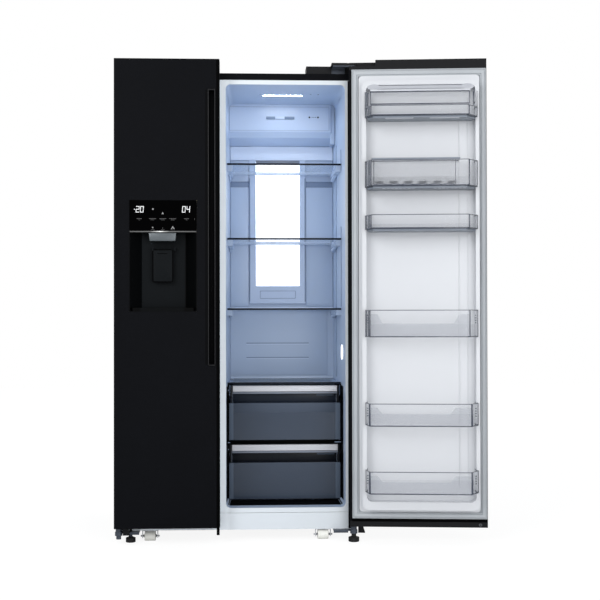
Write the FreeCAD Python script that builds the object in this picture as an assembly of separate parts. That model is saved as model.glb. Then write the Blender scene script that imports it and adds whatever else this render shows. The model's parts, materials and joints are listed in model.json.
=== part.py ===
"""Side by side refrigerator: freezer on the left behind a door with an ice and water
dispenser, fridge on the right with its door standing open.

Units are millimetres.  X runs to the right, Y into the cabinet, Z up.  The origin is on
the floor, below the middle of the cabinet's front flange."""
import FreeCAD, Part
import math
import os

V = FreeCAD.Vector

# ---------------------------------------------------------------- driving dimensions
WIDTH = 895.0               # over the cabinet's sides and over both doors
DOOR_TOP = 1780.0           # height of the doors' top edge
DOOR_BOTTOM = 59.0
TOP_STEP = 38.0             # how far the cabinet's top lies below the doors' top
CABINET_BOTTOM = 40.0
CABINET_DEPTH = 665.0       # front flange to rear panel
FREEZER_DOOR_WIDTH = 386.0
DOOR_GAP = 4.0              # slot between the two doors
DOOR_THICK = 62.0
GASKET_GAP = 12.0           # front flange to the inner face of a closed door
OPEN_ANGLE = 174.0          # how far each door swings

SHEET = 1.5                 # steel sheet of cabinet and door skins
PLASTIC = 2.5               # vacuum formed liners
FRAME_THICK = 6.0
TOP_RETURN = 25.0           # black strip above the white front frame
SIDE_RETURN = 12.5
WALL = 40.5                 # front width of an outer insulated wall
MULLION_WIDTH = 39.0        # middle wall, behind the slot between the doors
ROOM_TOP = 41.0             # cabinet top down to the ceiling at the front
ROOM_BOTTOM = 120.0         # floor of both rooms
ROOM_RADIUS = 18.0
DRAFT = 10.0                # how far each wall closes in towards the back
FRIDGE_BACK = 175.0         # fridge room's back wall to the rear panel
FREEZER_BACK = 75.0         # the same for the freezer room
COIL_SPACE = 112.0          # part of the freezer room behind the evaporator's cover
SEAM_Z = 102.0              # joint between the front frame and the lower panel
SEAM_GAP = 1.2
MACHINE_DEPTH = 265.0       # machine room, from the rear panel forwards
MACHINE_TOP = 270.0
COMPRESSOR_IN = 186.0       # from the cabinet's side to the compressor's middle
COMPRESSOR_GAP = 148.0      # from the compressor to the duct of the condenser's fan
CONDENSER_IN = 66.0         # from the cabinet's other side to the condenser
STEP_WALL = 45.0            # insulation in front of the machine room
STEP_ROOF = 48.0            # insulation over the machine room

PIVOT_IN = 14.5             # hinge axis from the door's hinge edge
PIVOT_BACK = 28.0           # hinge axis from the door's inner face
PIN_R = 5.0
RUNNING = 0.08              # radial clearance of pins that turn
CLEAR = 0.4                 # between flat faces of pieces that move past each other
NOTCH_WIDTH = 98.0          # cut in the door's top for the hinge and its cover
NOTCH_DEPTH = 22.0
NOTCH_REACH = 18.0          # from the hinge axis towards the door's face
CAP_LOW = 21.0              # height of the door's bottom cap
CAP_HIGH = 36.0

SHELF_THICK = 5.0
SHELF_CLEAR = 30.0          # from the door bins to the shelves
SHELF_REAR_GAP = 20.0
RIB_HEIGHT = 22.0           # moulded ledge under each shelf
SHELF_STATIONS = (0.300, 0.583, 0.884)    # shares of the height over the crisper cover
HOUSING_DEPTH = 107.0       # air housing, forwards from the back wall
HOUSING_HEIGHT = 107.0
HOUSING_DROP = 50.0         # slope below the housing's front face
HOUSING_TOP = 12.0          # from the ceiling at the front
DUCT_LIFT = 308.0           # duct panel over the crisper cover
DUCT_SIDES = (134.5, 98.5)  # left and right of the fridge room's middle
DUCT_THICK = 12.0

CRISPER_SET_BACK = 44.0     # drawer fronts behind the shelves' front edge
CRISPER_SIDE = 3.0
CRISPER_LIFT = 5.0          # lower drawer over the room's floor
CRISPER_FRONTS = (142.0, 145.0)           # height of the lower and upper front panel
CRISPER_GRIPS = (69.0, 67.0)              # from the panel's top to the top of the bar
CRISPER_GAP = 17.0          # from the lower bar to the upper drawer
CRISPER_OVER_STEP = 35.0    # upper drawer over the step in the room's floor
COVER_GAP = 12.0            # from the upper bar to the top of the glass over it
BAR_HEIGHT = 24.0
RAIL_DROP = 33.0            # drawer rails below the top of the bar
TUB = 2.5

FREEZER_SHELVES = (600.0, 820.0, 1040.0)
BASKET_TOPS = (300.0, 590.0)
FREEZER_SHELF_FRONT = 150.0
ICE_BIN_HEIGHT = 205.0      # with its shelf
ICE_BIN_SIDE = 22.0

FOOT_R = 20.0
FOOT_HEIGHT = 17.0
LEFT_FOOT = (41.0, 32.0)    # left foot from the hinge axis, inwards and back
WHEEL_R = 18.0
WHEEL_WIDTH = 40.0
WHEEL_IN = 125.5            # roller's middle from the cabinet's side
WHEEL_Y = 15.0
REAR_WHEEL_IN = 65.0        # rear roller's axle from the rear panel
AXLE_R = 3.0
SPINDLE_R = 3.0             # both fans
LAMP_FIT = 0.3              # round the lamp in the duct panel

# dispenser, measured from the freezer door's hinge edge and from the floor
DISPENSER_X = 56.5
DISPENSER_GAP = 37.0        # from the dispenser to the handle
DISPENSER_Z = 852.0
RECESS_TOP = 1141.0
PANEL_Z = 1148.0
PANEL_TOP = 1260.0
RECESS_WALL = 10.0          # foam left behind the recess
RECESS_SLOPE = 42.0
PADDLE_WIDTH = 71.0
PADDLE_HEIGHT = 120.0
PADDLE_LIFT = 110.0
PADDLE_BACK = 18.0          # paddle's axis from the back of the recess

HANDLE_WIDTH = 34.0
HANDLE_Z = 652.0
HANDLE_TOP = 110.0          # handle's upper end from the door's top
HANDLE_IN = 12.5            # handle from the door's free edge
MOUTH = 20.0
GRIP_DEPTH = 26.0

BIN_DEPTH = 110.0           # fridge door bins, out from the door's inner face
FREEZER_BIN_DEPTH = 78.0
FREEZER_BIN_HEIGHT = 85.0
FREEZER_BINS_LOW = (200.0, 400.0, 600.0)
FREEZER_BINS_HIGH = (430.0, 240.0)        # floors of the upper bins from the door's top
BIN_WALL = 2.2
LID_RISE = 108.0            # dairy lid's axis over the floor of its bin
LID_BACK = 52.0             # dairy lid's axis from the door's inner face

# ---------------------------------------------------------------- derived places
HALF = WIDTH / 2
CABINET_TOP = DOOR_TOP - TOP_STEP
CEILING = CABINET_TOP - ROOM_TOP
DOOR_IN = -GASKET_GAP
DOOR_OUT = DOOR_IN - DOOR_THICK
FRIDGE_DOOR_WIDTH = WIDTH - FREEZER_DOOR_WIDTH - DOOR_GAP
PIVOT_X = HALF - PIVOT_IN
PIVOT_Y = DOOR_IN - PIVOT_BACK
NOTCH_FLOOR = DOOR_TOP - NOTCH_DEPTH
MULLION_X = -HALF + FREEZER_DOOR_WIDTH + DOOR_GAP / 2
FRIDGE_X = (MULLION_X + MULLION_WIDTH / 2, HALF - WALL)
FREEZER_X = (-HALF + WALL, MULLION_X - MULLION_WIDTH / 2)
FRIDGE_MIDDLE = (FRIDGE_X[0] + FRIDGE_X[1]) / 2
FRIDGE_ROOM_DEPTH = CABINET_DEPTH - FRIDGE_BACK
FREEZER_ROOM_DEPTH = CABINET_DEPTH - FREEZER_BACK
COVER_Y = FREEZER_ROOM_DEPTH - COIL_SPACE
MACHINE_Y = CABINET_DEPTH - MACHINE_DEPTH
STEP_Y = MACHINE_Y - STEP_WALL
STEP_Z = MACHINE_TOP + STEP_ROOF
SHELF_FRONT = DOOR_IN + BIN_DEPTH + SHELF_CLEAR
SHELF_BACK = FRIDGE_ROOM_DEPTH - SHELF_REAR_GAP
HOUSING_Y = FRIDGE_ROOM_DEPTH - HOUSING_DEPTH
HOUSING_Z = CEILING - HOUSING_TOP - HOUSING_HEIGHT
HOUSING_LOW = HOUSING_Z - HOUSING_DROP
CRISPER_FRONT = SHELF_FRONT + CRISPER_SET_BACK
WHEEL_X = HALF - WHEEL_IN
REAR_WHEEL_Y = CABINET_DEPTH - REAR_WHEEL_IN
RECESS_DEPTH = DOOR_THICK - RECESS_WALL
HANDLE_END = DOOR_TOP - HANDLE_TOP
DISPENSER_END = FREEZER_DOOR_WIDTH - HANDLE_IN - HANDLE_WIDTH - DISPENSER_GAP


def drawer_levels(floor, which):
    """Floor, top of the front panel and top of the bar of one crisper."""
    panel = floor + CRISPER_FRONTS[which]
    return floor, panel, panel + CRISPER_GRIPS[which]


LOWER_CRISPER = drawer_levels(ROOM_BOTTOM + CRISPER_LIFT, 0)
UPPER_CRISPER = drawer_levels(max(STEP_Z + CRISPER_OVER_STEP,
                                  LOWER_CRISPER[2] + CRISPER_GAP), 1)
COVER_Z = UPPER_CRISPER[2] + COVER_GAP

nodes = {}


# ---------------------------------------------------------------- shape helpers
def block(x, y, z):
    """Box between pairs of limits."""
    return Part.makeBox(x[1] - x[0], y[1] - y[0], z[1] - z[0], V(x[0], y[0], z[0]))


def rod(start, axis, radius, length):
    return Part.makeCylinder(radius, length, V(*start), V(*axis))


def outline(x, z, radius, y):
    """Rounded rectangle in the upright plane at depth y."""
    (x0, x1), (z0, z1), r = x, z, radius
    k = r * (1 - math.sqrt(0.5))
    corners = (
        ((x1 - r, z0), (x1 - k, z0 + k), (x1, z0 + r)),
        ((x1, z1 - r), (x1 - k, z1 - k), (x1 - r, z1)),
        ((x0 + r, z1), (x0 + k, z1 - k), (x0, z1 - r)),
        ((x0, z0 + r), (x0 + k, z0 + k), (x0 + r, z0)),
    )
    edges = []
    for i, corner in enumerate(corners):
        a, b, c = [V(px, y, pz) for px, pz in corner]
        edges.append(Part.Arc(a, b, c).toShape())
        nx, nz = corners[(i + 1) % 4][0]
        edges.append(Part.makeLine(c, V(nx, y, nz)))
    return Part.Wire(edges)


def slab(x, z, radius, y):
    """Rounded rectangle extruded through the depth range y."""
    face = Part.Face(outline(x, z, radius, y[0]))
    return face.extrude(V(0, y[1] - y[0], 0))


def ring(outer_x, outer_z, inner_x, inner_z, radius, y):
    """Upright frame: one slab less another."""
    return slab(outer_x, outer_z, radius[0], y).cut(slab(inner_x, inner_z, radius[1], y))


def prism_x(points, x):
    """Closed (y, z) outline extruded across the range x."""
    wire = Part.makePolygon([V(x[0], py, pz) for py, pz in points + points[:1]])
    return Part.Face(wire).extrude(V(x[1] - x[0], 0, 0))


def prism_z(points, z):
    """Closed (x, y) outline extruded up the range z."""
    wire = Part.makePolygon([V(px, py, z[0]) for px, py in points + points[:1]])
    return Part.Face(wire).extrude(V(0, 0, z[1] - z[0]))


def fuse(*shapes):
    return shapes[0].multiFuse(list(shapes[1:])).removeSplitter()


def rounded(shape, radius, pick):
    """Fillet the edges whose two ends both satisfy pick(point)."""
    edges = [e for e in shape.Edges if all(pick(v.Point) for v in e.Vertexes)]
    return shape.makeFillet(radius, edges) if edges else shape


def both_sides(shape):
    """The shape and its mirror image across the middle plane."""
    return [shape, shape.mirror(V(0, 0, 0), V(1, 0, 0))]


def room(x, depth, grow):
    """Tapered space of one compartment, grown by a wall thickness."""
    front = outline((x[0] - grow, x[1] + grow), (ROOM_BOTTOM - grow, CEILING + grow),
                    ROOM_RADIUS + grow, FRAME_THICK)
    back = outline((x[0] + DRAFT - grow, x[1] - DRAFT + grow),
                   (ROOM_BOTTOM - grow, CEILING - DRAFT + grow),
                   ROOM_RADIUS + grow, depth + grow)
    whole = Part.makeLoft([front, back], True, True)
    step = block((-WIDTH, WIDTH), (STEP_Y + grow, WIDTH), (0, STEP_Z - grow))
    return whole.cut(step)


def wall_x(side, y):
    """X of a fridge room side wall at depth y: side 0 is left, 1 is right."""
    share = (y - FRAME_THICK) / (FRIDGE_ROOM_DEPTH - FRAME_THICK)
    return FRIDGE_X[side] + (DRAFT * share if side == 0 else -DRAFT * share)


# ---------------------------------------------------------------- cabinet
def cabinet():
    inside = HALF - SHEET
    fridge_outer = room(FRIDGE_X, FRIDGE_ROOM_DEPTH, PLASTIC)
    fridge_inner = room(FRIDGE_X, FRIDGE_ROOM_DEPTH, 0)
    freezer_outer = room(FREEZER_X, FREEZER_ROOM_DEPTH, PLASTIC)
    freezer_inner = room(FREEZER_X, FREEZER_ROOM_DEPTH, 0)
    nodes["fridge_liner"] = fridge_outer.cut(fridge_inner)
    nodes["freezer_liner"] = freezer_outer.cut(freezer_inner)

    roof = CABINET_TOP - SHEET
    wrap = block((-HALF, HALF), (0, CABINET_DEPTH), (CABINET_BOTTOM, CABINET_TOP))
    wrap = wrap.cut(block((-inside, inside), (-1, WIDTH), (0, roof)))
    frame_x = HALF - SIDE_RETURN
    frame_top = CABINET_TOP - TOP_RETURN
    for x in ((-inside, -frame_x), (frame_x, inside)):
        wrap = wrap.fuse(block(x, (0, SHEET), (CABINET_BOTTOM, roof)))
    wrap = wrap.fuse(block((-frame_x, frame_x), (0, SHEET), (frame_top, roof)))
    nodes["cabinet_shell"] = wrap.removeSplitter()

    frame = block((-frame_x, frame_x), (0, FRAME_THICK), (SEAM_Z + SEAM_GAP / 2, frame_top))
    for x in (FRIDGE_X, FREEZER_X):
        frame = frame.cut(slab(x, (ROOM_BOTTOM, CEILING), ROOM_RADIUS, (-1, FRAME_THICK + 1)))
    nodes["front_frame"] = frame
    nodes["lower_front_panel"] = block((-frame_x, frame_x), (0, FRAME_THICK),
                                       (CABINET_BOTTOM, SEAM_Z - SEAM_GAP / 2))

    pan_top = CABINET_BOTTOM + SHEET
    machine = ((-inside, inside), (MACHINE_Y, CABINET_DEPTH - SHEET))
    foam = block((-inside, inside), (FRAME_THICK, CABINET_DEPTH - SHEET), (pan_top, roof))
    foam = foam.cut(block(machine[0], machine[1], (pan_top, MACHINE_TOP)))
    nodes["cabinet_foam"] = foam.cut(fridge_outer).cut(freezer_outer)
    nodes["rear_panel"] = block((-inside, inside), (CABINET_DEPTH - SHEET, CABINET_DEPTH),
                                (MACHINE_TOP, roof))

    pan = block((-inside, inside), (FRAME_THICK, CABINET_DEPTH), (CABINET_BOTTOM, pan_top))
    upstand = block((-inside, inside), (MACHINE_Y, MACHINE_Y + SHEET), (pan_top, MACHINE_TOP))
    nodes["base_chassis"] = pan.fuse(upstand).removeSplitter()
    machine_cover(inside, pan_top)
    machinery(inside, pan_top)
    freezer_inside(freezer_inner)
    fridge_inside(fridge_inner)


def machine_cover(inside, pan_top):
    """Slotted rear cover of the machine room, with the mains inlet gland."""
    y = (CABINET_DEPTH - SHEET, CABINET_DEPTH)
    cover = block((-inside, inside), y, (pan_top, MACHINE_TOP))
    pitch, half_slot, below, above = 12.0, 2.5, 40.0, 60.0
    slots = []
    for centre in (-inside * 0.6, 0.0, inside * 0.6):
        for i in range(-7, 8):
            x = centre + i * pitch
            slots.append(slab((x - half_slot, x + half_slot),
                              (pan_top + below, MACHINE_TOP - above), half_slot - 0.1,
                              (y[0] - 1, y[1] + 1)))
    cover = cover.cut(Part.makeCompound(slots))
    gland_in, gland_r, gland_length = 30.0, 9.0, 7.0
    gland = rod((-inside + gland_in, y[1], MACHINE_TOP - gland_in), (0, 1, 0), gland_r,
                gland_length)
    nodes["machine_cover"] = cover.fuse(gland)


def machinery(inside, pan_top):
    """Compressor, condenser and its fan, standing on the base pan."""
    radius, height, foot, plate_thick, terminal_end = 78.0, 150.0, 14.0, 4.0, 100.0
    x = -inside + COMPRESSOR_IN
    y = MACHINE_Y + 145.0
    base = pan_top + foot
    can = Part.makeCylinder(radius, height, V(x, y, base + plate_thick))
    can = can.makeFillet(34, [e for e in can.Edges if len(e.Vertexes) == 1])
    plate = block((x - 105, x + 105), (y - 62, y + 62), (base, base + plate_thick))
    terminals = block((x + 60, x + terminal_end), (y - 25, y + 25), (base + 40, base + 110))
    parts = [can, plate, terminals]
    for dx in (-30, 30):
        parts.append(rod((x + dx, y, base + height - 8), (0, 0, 1), 4, 40))
    feet = []
    for dx in (-88, 88):
        for dy in (-46, 46):
            feet.append(rod((x + dx, y + dy, pan_top), (0, 0, 1), 12, foot))
    nodes["compressor"] = Part.makeCompound([fuse(*parts)] + feet)

    fin_pitch, fin_thick, fin_in, tube_r, duct_half, duct_out = 24.0, 2.0, 8.0, 4.0, 22.0, 60.0
    duct_x = x + terminal_end + COMPRESSOR_GAP + duct_half
    x0 = duct_x + duct_out
    x1 = inside - CONDENSER_IN
    length = x1 - x0
    y0, y1 = MACHINE_Y + 30, CABINET_DEPTH - 35
    centre = (y0 + y1) / 2, pan_top + 100
    levels = [pan_top + 30 + i * 28.0 for i in range(6)]
    tubes = []
    for z in levels:
        for ty in (y0 + 30, centre[0], y1 - 30):
            tubes.append(rod((x0, ty, z), (1, 0, 0), tube_r, length))
    fins = []
    for i in range(1 + int((length - fin_in - fin_thick) / fin_pitch)):
        fx = x0 + fin_in + i * fin_pitch
        fins.append(block((fx, fx + fin_thick), (y0, y1), (pan_top, levels[-1] + 16)))
    mouth_r, blade_r = 82.0, 76.0
    top = centre[1] + 98
    shroud = block((duct_x - duct_half, duct_x + duct_half), (y0 + 5, y1 - 5), (pan_top, top))
    shroud = shroud.cut(rod((duct_x - 30, *centre), (1, 0, 0), mouth_r, 60))
    strut = block((duct_x - duct_half, duct_x - 16), (centre[0] - 8, centre[0] + 8),
                  (pan_top, top))
    motor = rod((duct_x - 20, *centre), (1, 0, 0), 24, 14)
    spindle = rod((duct_x - 10, *centre), (1, 0, 0), SPINDLE_R, 26)
    nodes["condenser"] = Part.makeCompound([fuse(*(fins + tubes)),
                                            fuse(shroud, strut, motor, spindle)])
    nodes["condenser_fan"] = fan((duct_x - 4, *centre), (1, 0, 0), blade_r)


def fan(centre, axis, radius):
    """Hub with five pitched blades, bored to run on its spindle."""
    hub_r, width, blade_half, pitch = 20.0, 18.0, 17.0, 22.0
    hub = Part.makeCylinder(hub_r, width)
    blades = []
    for i in range(5):
        blade = block((hub_r - 2, radius), (-blade_half, blade_half),
                      (width / 2 - 1, width / 2 + 1))
        blade.rotate(V(0, 0, width / 2), V(1, 0, 0), pitch)
        blade.rotate(V(0, 0, 0), V(0, 0, 1), 72 * i)
        blades.append(blade)
    bore = Part.makeCylinder(SPINDLE_R + RUNNING, width + 2, V(0, 0, -1))
    wheel = fuse(hub, *blades).cut(bore)
    turn = FreeCAD.Rotation(V(0, 0, 1), V(*axis))
    wheel.Placement = FreeCAD.Placement(V(*centre), turn)
    return wheel


def freezer_inside(space):
    """Evaporator behind its slotted cover, shelves, baskets, ice bin and auger."""
    x0, x1 = FREEZER_X
    middle = (x0 + x1) / 2
    cover_back = COVER_Y + 4
    cover = block((x0, x1), (COVER_Y, cover_back), (STEP_Z, CEILING)).common(space)
    vent_half, vent_height, vent_pitch = 70.0, 10.0, 24.0
    vent_z = [CEILING - 1001 + i * vent_pitch for i in range(3)]
    vent_z += [CEILING - 190 + i * vent_pitch for i in range(2)]
    vents = [slab((middle - vent_half, middle + vent_half), (z, z + vent_height),
                  vent_height / 2 - 0.1, (COVER_Y - 1, cover_back + 1)) for z in vent_z]
    cover = cover.cut(Part.makeCompound(vents))
    fan_z, fan_mouth, fan_r, arm_half, arm_thick = CEILING - 400, 62.0, 56.0, 75.0, 8.0
    cover = cover.cut(rod((middle, COVER_Y - 1, fan_z), (0, 1, 0), fan_mouth, 6))
    motor_y = COVER_Y + 60
    arm_z = (fan_z - arm_thick, fan_z + arm_thick)
    arms = block((middle - arm_half, middle + arm_half), (motor_y, motor_y + 4), arm_z)
    posts = [block((middle + d - 5, middle + d + 5), (cover_back, motor_y + 4), arm_z)
             for d in (-arm_half, arm_half)]
    motor = rod((middle, motor_y - 10, fan_z), (0, 1, 0), 22, 10)
    spindle = rod((middle, motor_y - 40, fan_z), (0, 1, 0), SPINDLE_R, 32)
    nodes["freezer_duct_cover"] = fuse(cover, arms, motor, spindle, *posts)
    nodes["evaporator_fan"] = fan((middle, motor_y - 34, fan_z), (0, 1, 0), fan_r)

    coil_half, coil_base, coil_height, tube_r = 118.0, 400.0, 240.0, 4.0
    coil_y = (COVER_Y + 22, COVER_Y + 82)
    coil_z = (coil_base, coil_base + coil_height)
    fin_pitch, fin_thick = 18.0, 2.0
    fins = []
    for i in range(14):
        fx = middle - coil_half + i * fin_pitch
        fins.append(block((fx, fx + fin_thick), coil_y, coil_z))
    tubes = []
    for i in range(4):
        for y in (coil_y[0] + 15, coil_y[1] - 15):
            start = (middle - coil_half, y, coil_base + 30 + i * 60)
            tubes.append(rod(start, (1, 0, 0), tube_r, 2 * coil_half))
    rails = [block((middle - coil_half, middle + coil_half), (cover_back, coil_y[0] + 4),
                   (z, z + 6)) for z in (coil_z[0] + 4, coil_z[1] - 10)]
    nodes["evaporator"] = fuse(*(fins + tubes + rails))

    bin_floor = PANEL_TOP + 10
    shelves = []
    for z in FREEZER_SHELVES + (bin_floor,):
        shelf = block((x0 - 5, x1 + 5), (FREEZER_SHELF_FRONT, COVER_Y), (z, z + SHELF_THICK))
        shelves.append(shelf.common(space))
    nodes["freezer_shelves"] = Part.makeCompound(shelves)
    baskets = []
    bx = (x0 + ROOM_RADIUS + DRAFT, x1 - ROOM_RADIUS - DRAFT)
    floors, backs = (ROOM_BOTTOM, STEP_Z), (STEP_Y - 15, COVER_Y - 8)
    for z0, z1, back in zip(floors, BASKET_TOPS, backs):
        baskets.append(open_tub(bx, (FREEZER_SHELF_FRONT, back), (z0, z1)))
    nodes["freezer_baskets"] = Part.makeCompound(baskets)

    bin_x = (x0 + ICE_BIN_SIDE, x1 - ICE_BIN_SIDE)
    bin_z = (bin_floor + SHELF_THICK, bin_floor + ICE_BIN_HEIGHT)
    bin_y = (FREEZER_SHELF_FRONT + 6, COVER_Y - 58)
    shaft_r, blade_reach, drive_r = 4.0, 46.0, 16.0
    axle_z = bin_z[0] + blade_reach + 16
    ice = open_tub(bin_x, bin_y, bin_z)
    for y in bin_y:
        ice = ice.cut(rod((middle, y - 10, axle_z), (0, 1, 0), shaft_r + RUNNING, 20))
    nodes["ice_bin"] = ice
    shaft = rod((middle, bin_y[0] - 3, axle_z), (0, 1, 0), shaft_r, bin_y[1] - bin_y[0] + 24)
    drive = rod((middle, bin_y[1] + 4, axle_z), (0, 1, 0), drive_r, 14)
    count = 7
    pitch = (bin_y[1] - bin_y[0] - 66) / (count - 1)
    blades = []
    for i in range(count):
        blade = block((-7, 7), (-2, 2), (-blade_reach, blade_reach))
        blade.rotate(V(0, 0, 0), V(0, 0, 1), 30)
        blade.rotate(V(0, 0, 0), V(0, 1, 0), 40 * i)
        blade.translate(V(middle, bin_y[0] + 30 + i * pitch, axle_z))
        blades.append(blade)
    nodes["ice_auger"] = fuse(shaft, drive, *blades)


def open_tub(x, y, z):
    """Plain box with an open top."""
    hollow = block((x[0] + TUB, x[1] - TUB), (y[0] + TUB, y[1] - TUB), (z[0] + TUB, z[1] + 1))
    return block(x, y, z).cut(hollow)


def fridge_inside(space):
    """Back duct, lights, air housing, shelves and what carries them."""
    back = FRIDGE_ROOM_DEPTH
    duct_x = (FRIDGE_MIDDLE - DUCT_SIDES[0], FRIDGE_MIDDLE + DUCT_SIDES[1])
    duct_y = (back - DUCT_THICK, back)
    duct_z = (COVER_Z + DUCT_LIFT, HOUSING_LOW)
    lamp_x = (duct_x[0] + 27, duct_x[1] - 24)
    lamp_z = (duct_z[0] + 72, duct_z[1] - 60)
    duct = slab(duct_x, (duct_z[0], duct_z[1] + 4), 8, duct_y)
    duct = duct.cut(slab(lamp_x, lamp_z, 3, (duct_y[0] - 1, back - 3)))
    lamp = slab((lamp_x[0] + LAMP_FIT, lamp_x[1] - LAMP_FIT),
                (lamp_z[0] + LAMP_FIT, lamp_z[1] - LAMP_FIT), 3, (duct_y[0] + 1.5, back - 3))

    lip_y, lip_z = HOUSING_Y + 17, HOUSING_Z - 22
    side_gap = 26.0
    bulk = prism_x([(HOUSING_Y, CEILING), (HOUSING_Y, HOUSING_Z), (lip_y, lip_z),
                    (back, HOUSING_LOW), (back, CEILING)],
                   (FRIDGE_X[0], FRIDGE_X[1] - side_gap)).common(space)
    slot = slab((FRIDGE_MIDDLE - 65.5, FRIDGE_MIDDLE + 49.5), (HOUSING_Z + 50, HOUSING_Z + 61),
                5, (HOUSING_Y - 1, HOUSING_Y + 9))
    nodes["upper_air_housing"] = bulk.cut(slot).cut(duct)
    nodes["fridge_duct_panel"] = duct

    strip_thick = 14.0
    ceiling_strip = block((FRIDGE_MIDDLE - 83.5, FRIDGE_MIDDLE + 74.5), (190, 226),
                          (CEILING - strip_thick, CEILING)).common(space)
    lamp_y, lamp_level = SHELF_FRONT - 3, COVER_Z + 118
    side = Part.makeCylinder(1, 12, V(wall_x(1, lamp_y) - 5, 0, 0), V(1, 0, 0))
    oval = FreeCAD.Matrix()
    oval.scale(1, 50, 30)
    side = side.transformGeometry(oval)
    side.translate(V(0, lamp_y, lamp_level))
    nodes["interior_lights"] = Part.makeCompound([lamp, ceiling_strip, side.common(space)])

    shelves, trims, supports = [], [], []
    height = HOUSING_LOW - COVER_Z
    for share in SHELF_STATIONS:
        top = COVER_Z + height * share
        shelf, ribs, edge = glass_shelf(top, SHELF_FRONT, SHELF_BACK, RIB_HEIGHT, space)
        shelves.append(shelf)
        trims += edge
        supports += ribs
    low_rib = COVER_GAP - SHELF_THICK - 2
    cover, ribs, edge = glass_shelf(COVER_Z, CRISPER_FRONT - 10, SHELF_BACK, low_rib, space)
    nodes["fridge_shelves"] = Part.makeCompound(shelves + [cover])
    nodes["shelf_trims"] = Part.makeCompound(trims + edge)
    supports += ribs

    for floor, panel_top, bar_top in (LOWER_CRISPER, UPPER_CRISPER):
        rail_z = bar_top - RAIL_DROP
        end = (STEP_Y if floor < STEP_Z else SHELF_BACK) - 6
        for x in ((FRIDGE_X[0] - 5, FRIDGE_X[0] + 16), (FRIDGE_X[1] - 16, FRIDGE_X[1] + 5)):
            runner = block(x, (CRISPER_FRONT + 28, end), (rail_z - 10, rail_z - CLEAR))
            supports.append(runner.common(space))
    nodes["shelf_supports"] = Part.makeCompound(supports)


def glass_shelf(top, front, back, rib_height, space):
    """Glass with black front and back trims, and the wall ribs under it."""
    z = (top - SHELF_THICK, top)
    x = (wall_x(0, back) + 1.5, wall_x(1, back) - 1.5)
    glass = block(x, (front + 6, back - 8), z)
    strips = [block(x, (front, front + 6), (z[0] - 1, top + 1)),
              block(x, (back - 8, back), (z[0], top + 1))]
    ribs = []
    for wx in ((FRIDGE_X[0] - 5, x[0] + 12), (x[1] - 12, FRIDGE_X[1] + 5)):
        rib = prism_x([(front + 8, z[0]), (front + 30, z[0] - rib_height),
                       (back - 30, z[0] - rib_height), (back - 8, z[0])], wx)
        ribs.append(rib.common(space))
    return glass, ribs, strips


# ---------------------------------------------------------------- crisper drawers
def crisper(name, sizes, back):
    """Smoky tub with a stepped front, and the silver pull bar across its top."""
    floor, panel_top, bar_top = sizes
    outer = (wall_x(0, back) + CRISPER_SIDE, wall_x(1, back) - CRISPER_SIDE)
    rail_width, grip_room = 8.0, 24.0
    tub_x = (outer[0] + rail_width, outer[1] - rail_width)
    grip_y = CRISPER_FRONT + grip_room
    flange_z = bar_top - RAIL_DROP
    rim = flange_z + TUB

    lower = block(tub_x, (CRISPER_FRONT, back), (floor, panel_top))
    upper = block(tub_x, (grip_y, back), (panel_top - 1, rim))
    cheeks = block(tub_x, (CRISPER_FRONT + 4, grip_y), (panel_top - 1, bar_top - BAR_HEIGHT))
    cheeks = cheeks.cut(block((tub_x[0] + 3, tub_x[1] - 3), (0, WIDTH), (0, DOOR_TOP)))
    hollow_x = (tub_x[0] + TUB, tub_x[1] - TUB)
    hollow = block(hollow_x, (CRISPER_FRONT + TUB, back - TUB), (floor + TUB, panel_top - TUB))
    hollow = hollow.fuse(block(hollow_x, (grip_y + TUB, back - TUB), (floor + TUB, rim + 1)))
    face = block((outer[0], outer[1]), (CRISPER_FRONT - 3, CRISPER_FRONT), (floor, panel_top))
    face = rounded(face, 2.4, lambda p: p.y < CRISPER_FRONT - 2)
    wings = block(outer, (grip_y, back), (flange_z, rim))
    wings = wings.cut(block(tub_x, (0, WIDTH), (0, DOOR_TOP)))
    riser = block(tub_x, (grip_y, grip_y + TUB), (rim - 1, bar_top - 4))
    tub = fuse(lower, upper, face, wings, riser, cheeks).cut(hollow)
    nodes[name] = tub

    bar_x = (outer[0] + 10, outer[1] - 6)
    bar = block(bar_x, (CRISPER_FRONT - 3, CRISPER_FRONT + 3), (bar_top - BAR_HEIGHT, bar_top))
    bar = rounded(bar, 2.0, lambda p: p.y < CRISPER_FRONT - 2)
    top = block(bar_x, (CRISPER_FRONT + 3, grip_y + TUB), (bar_top - 4, bar_top))
    nodes[name + "_bar"] = fuse(bar, top)


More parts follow.
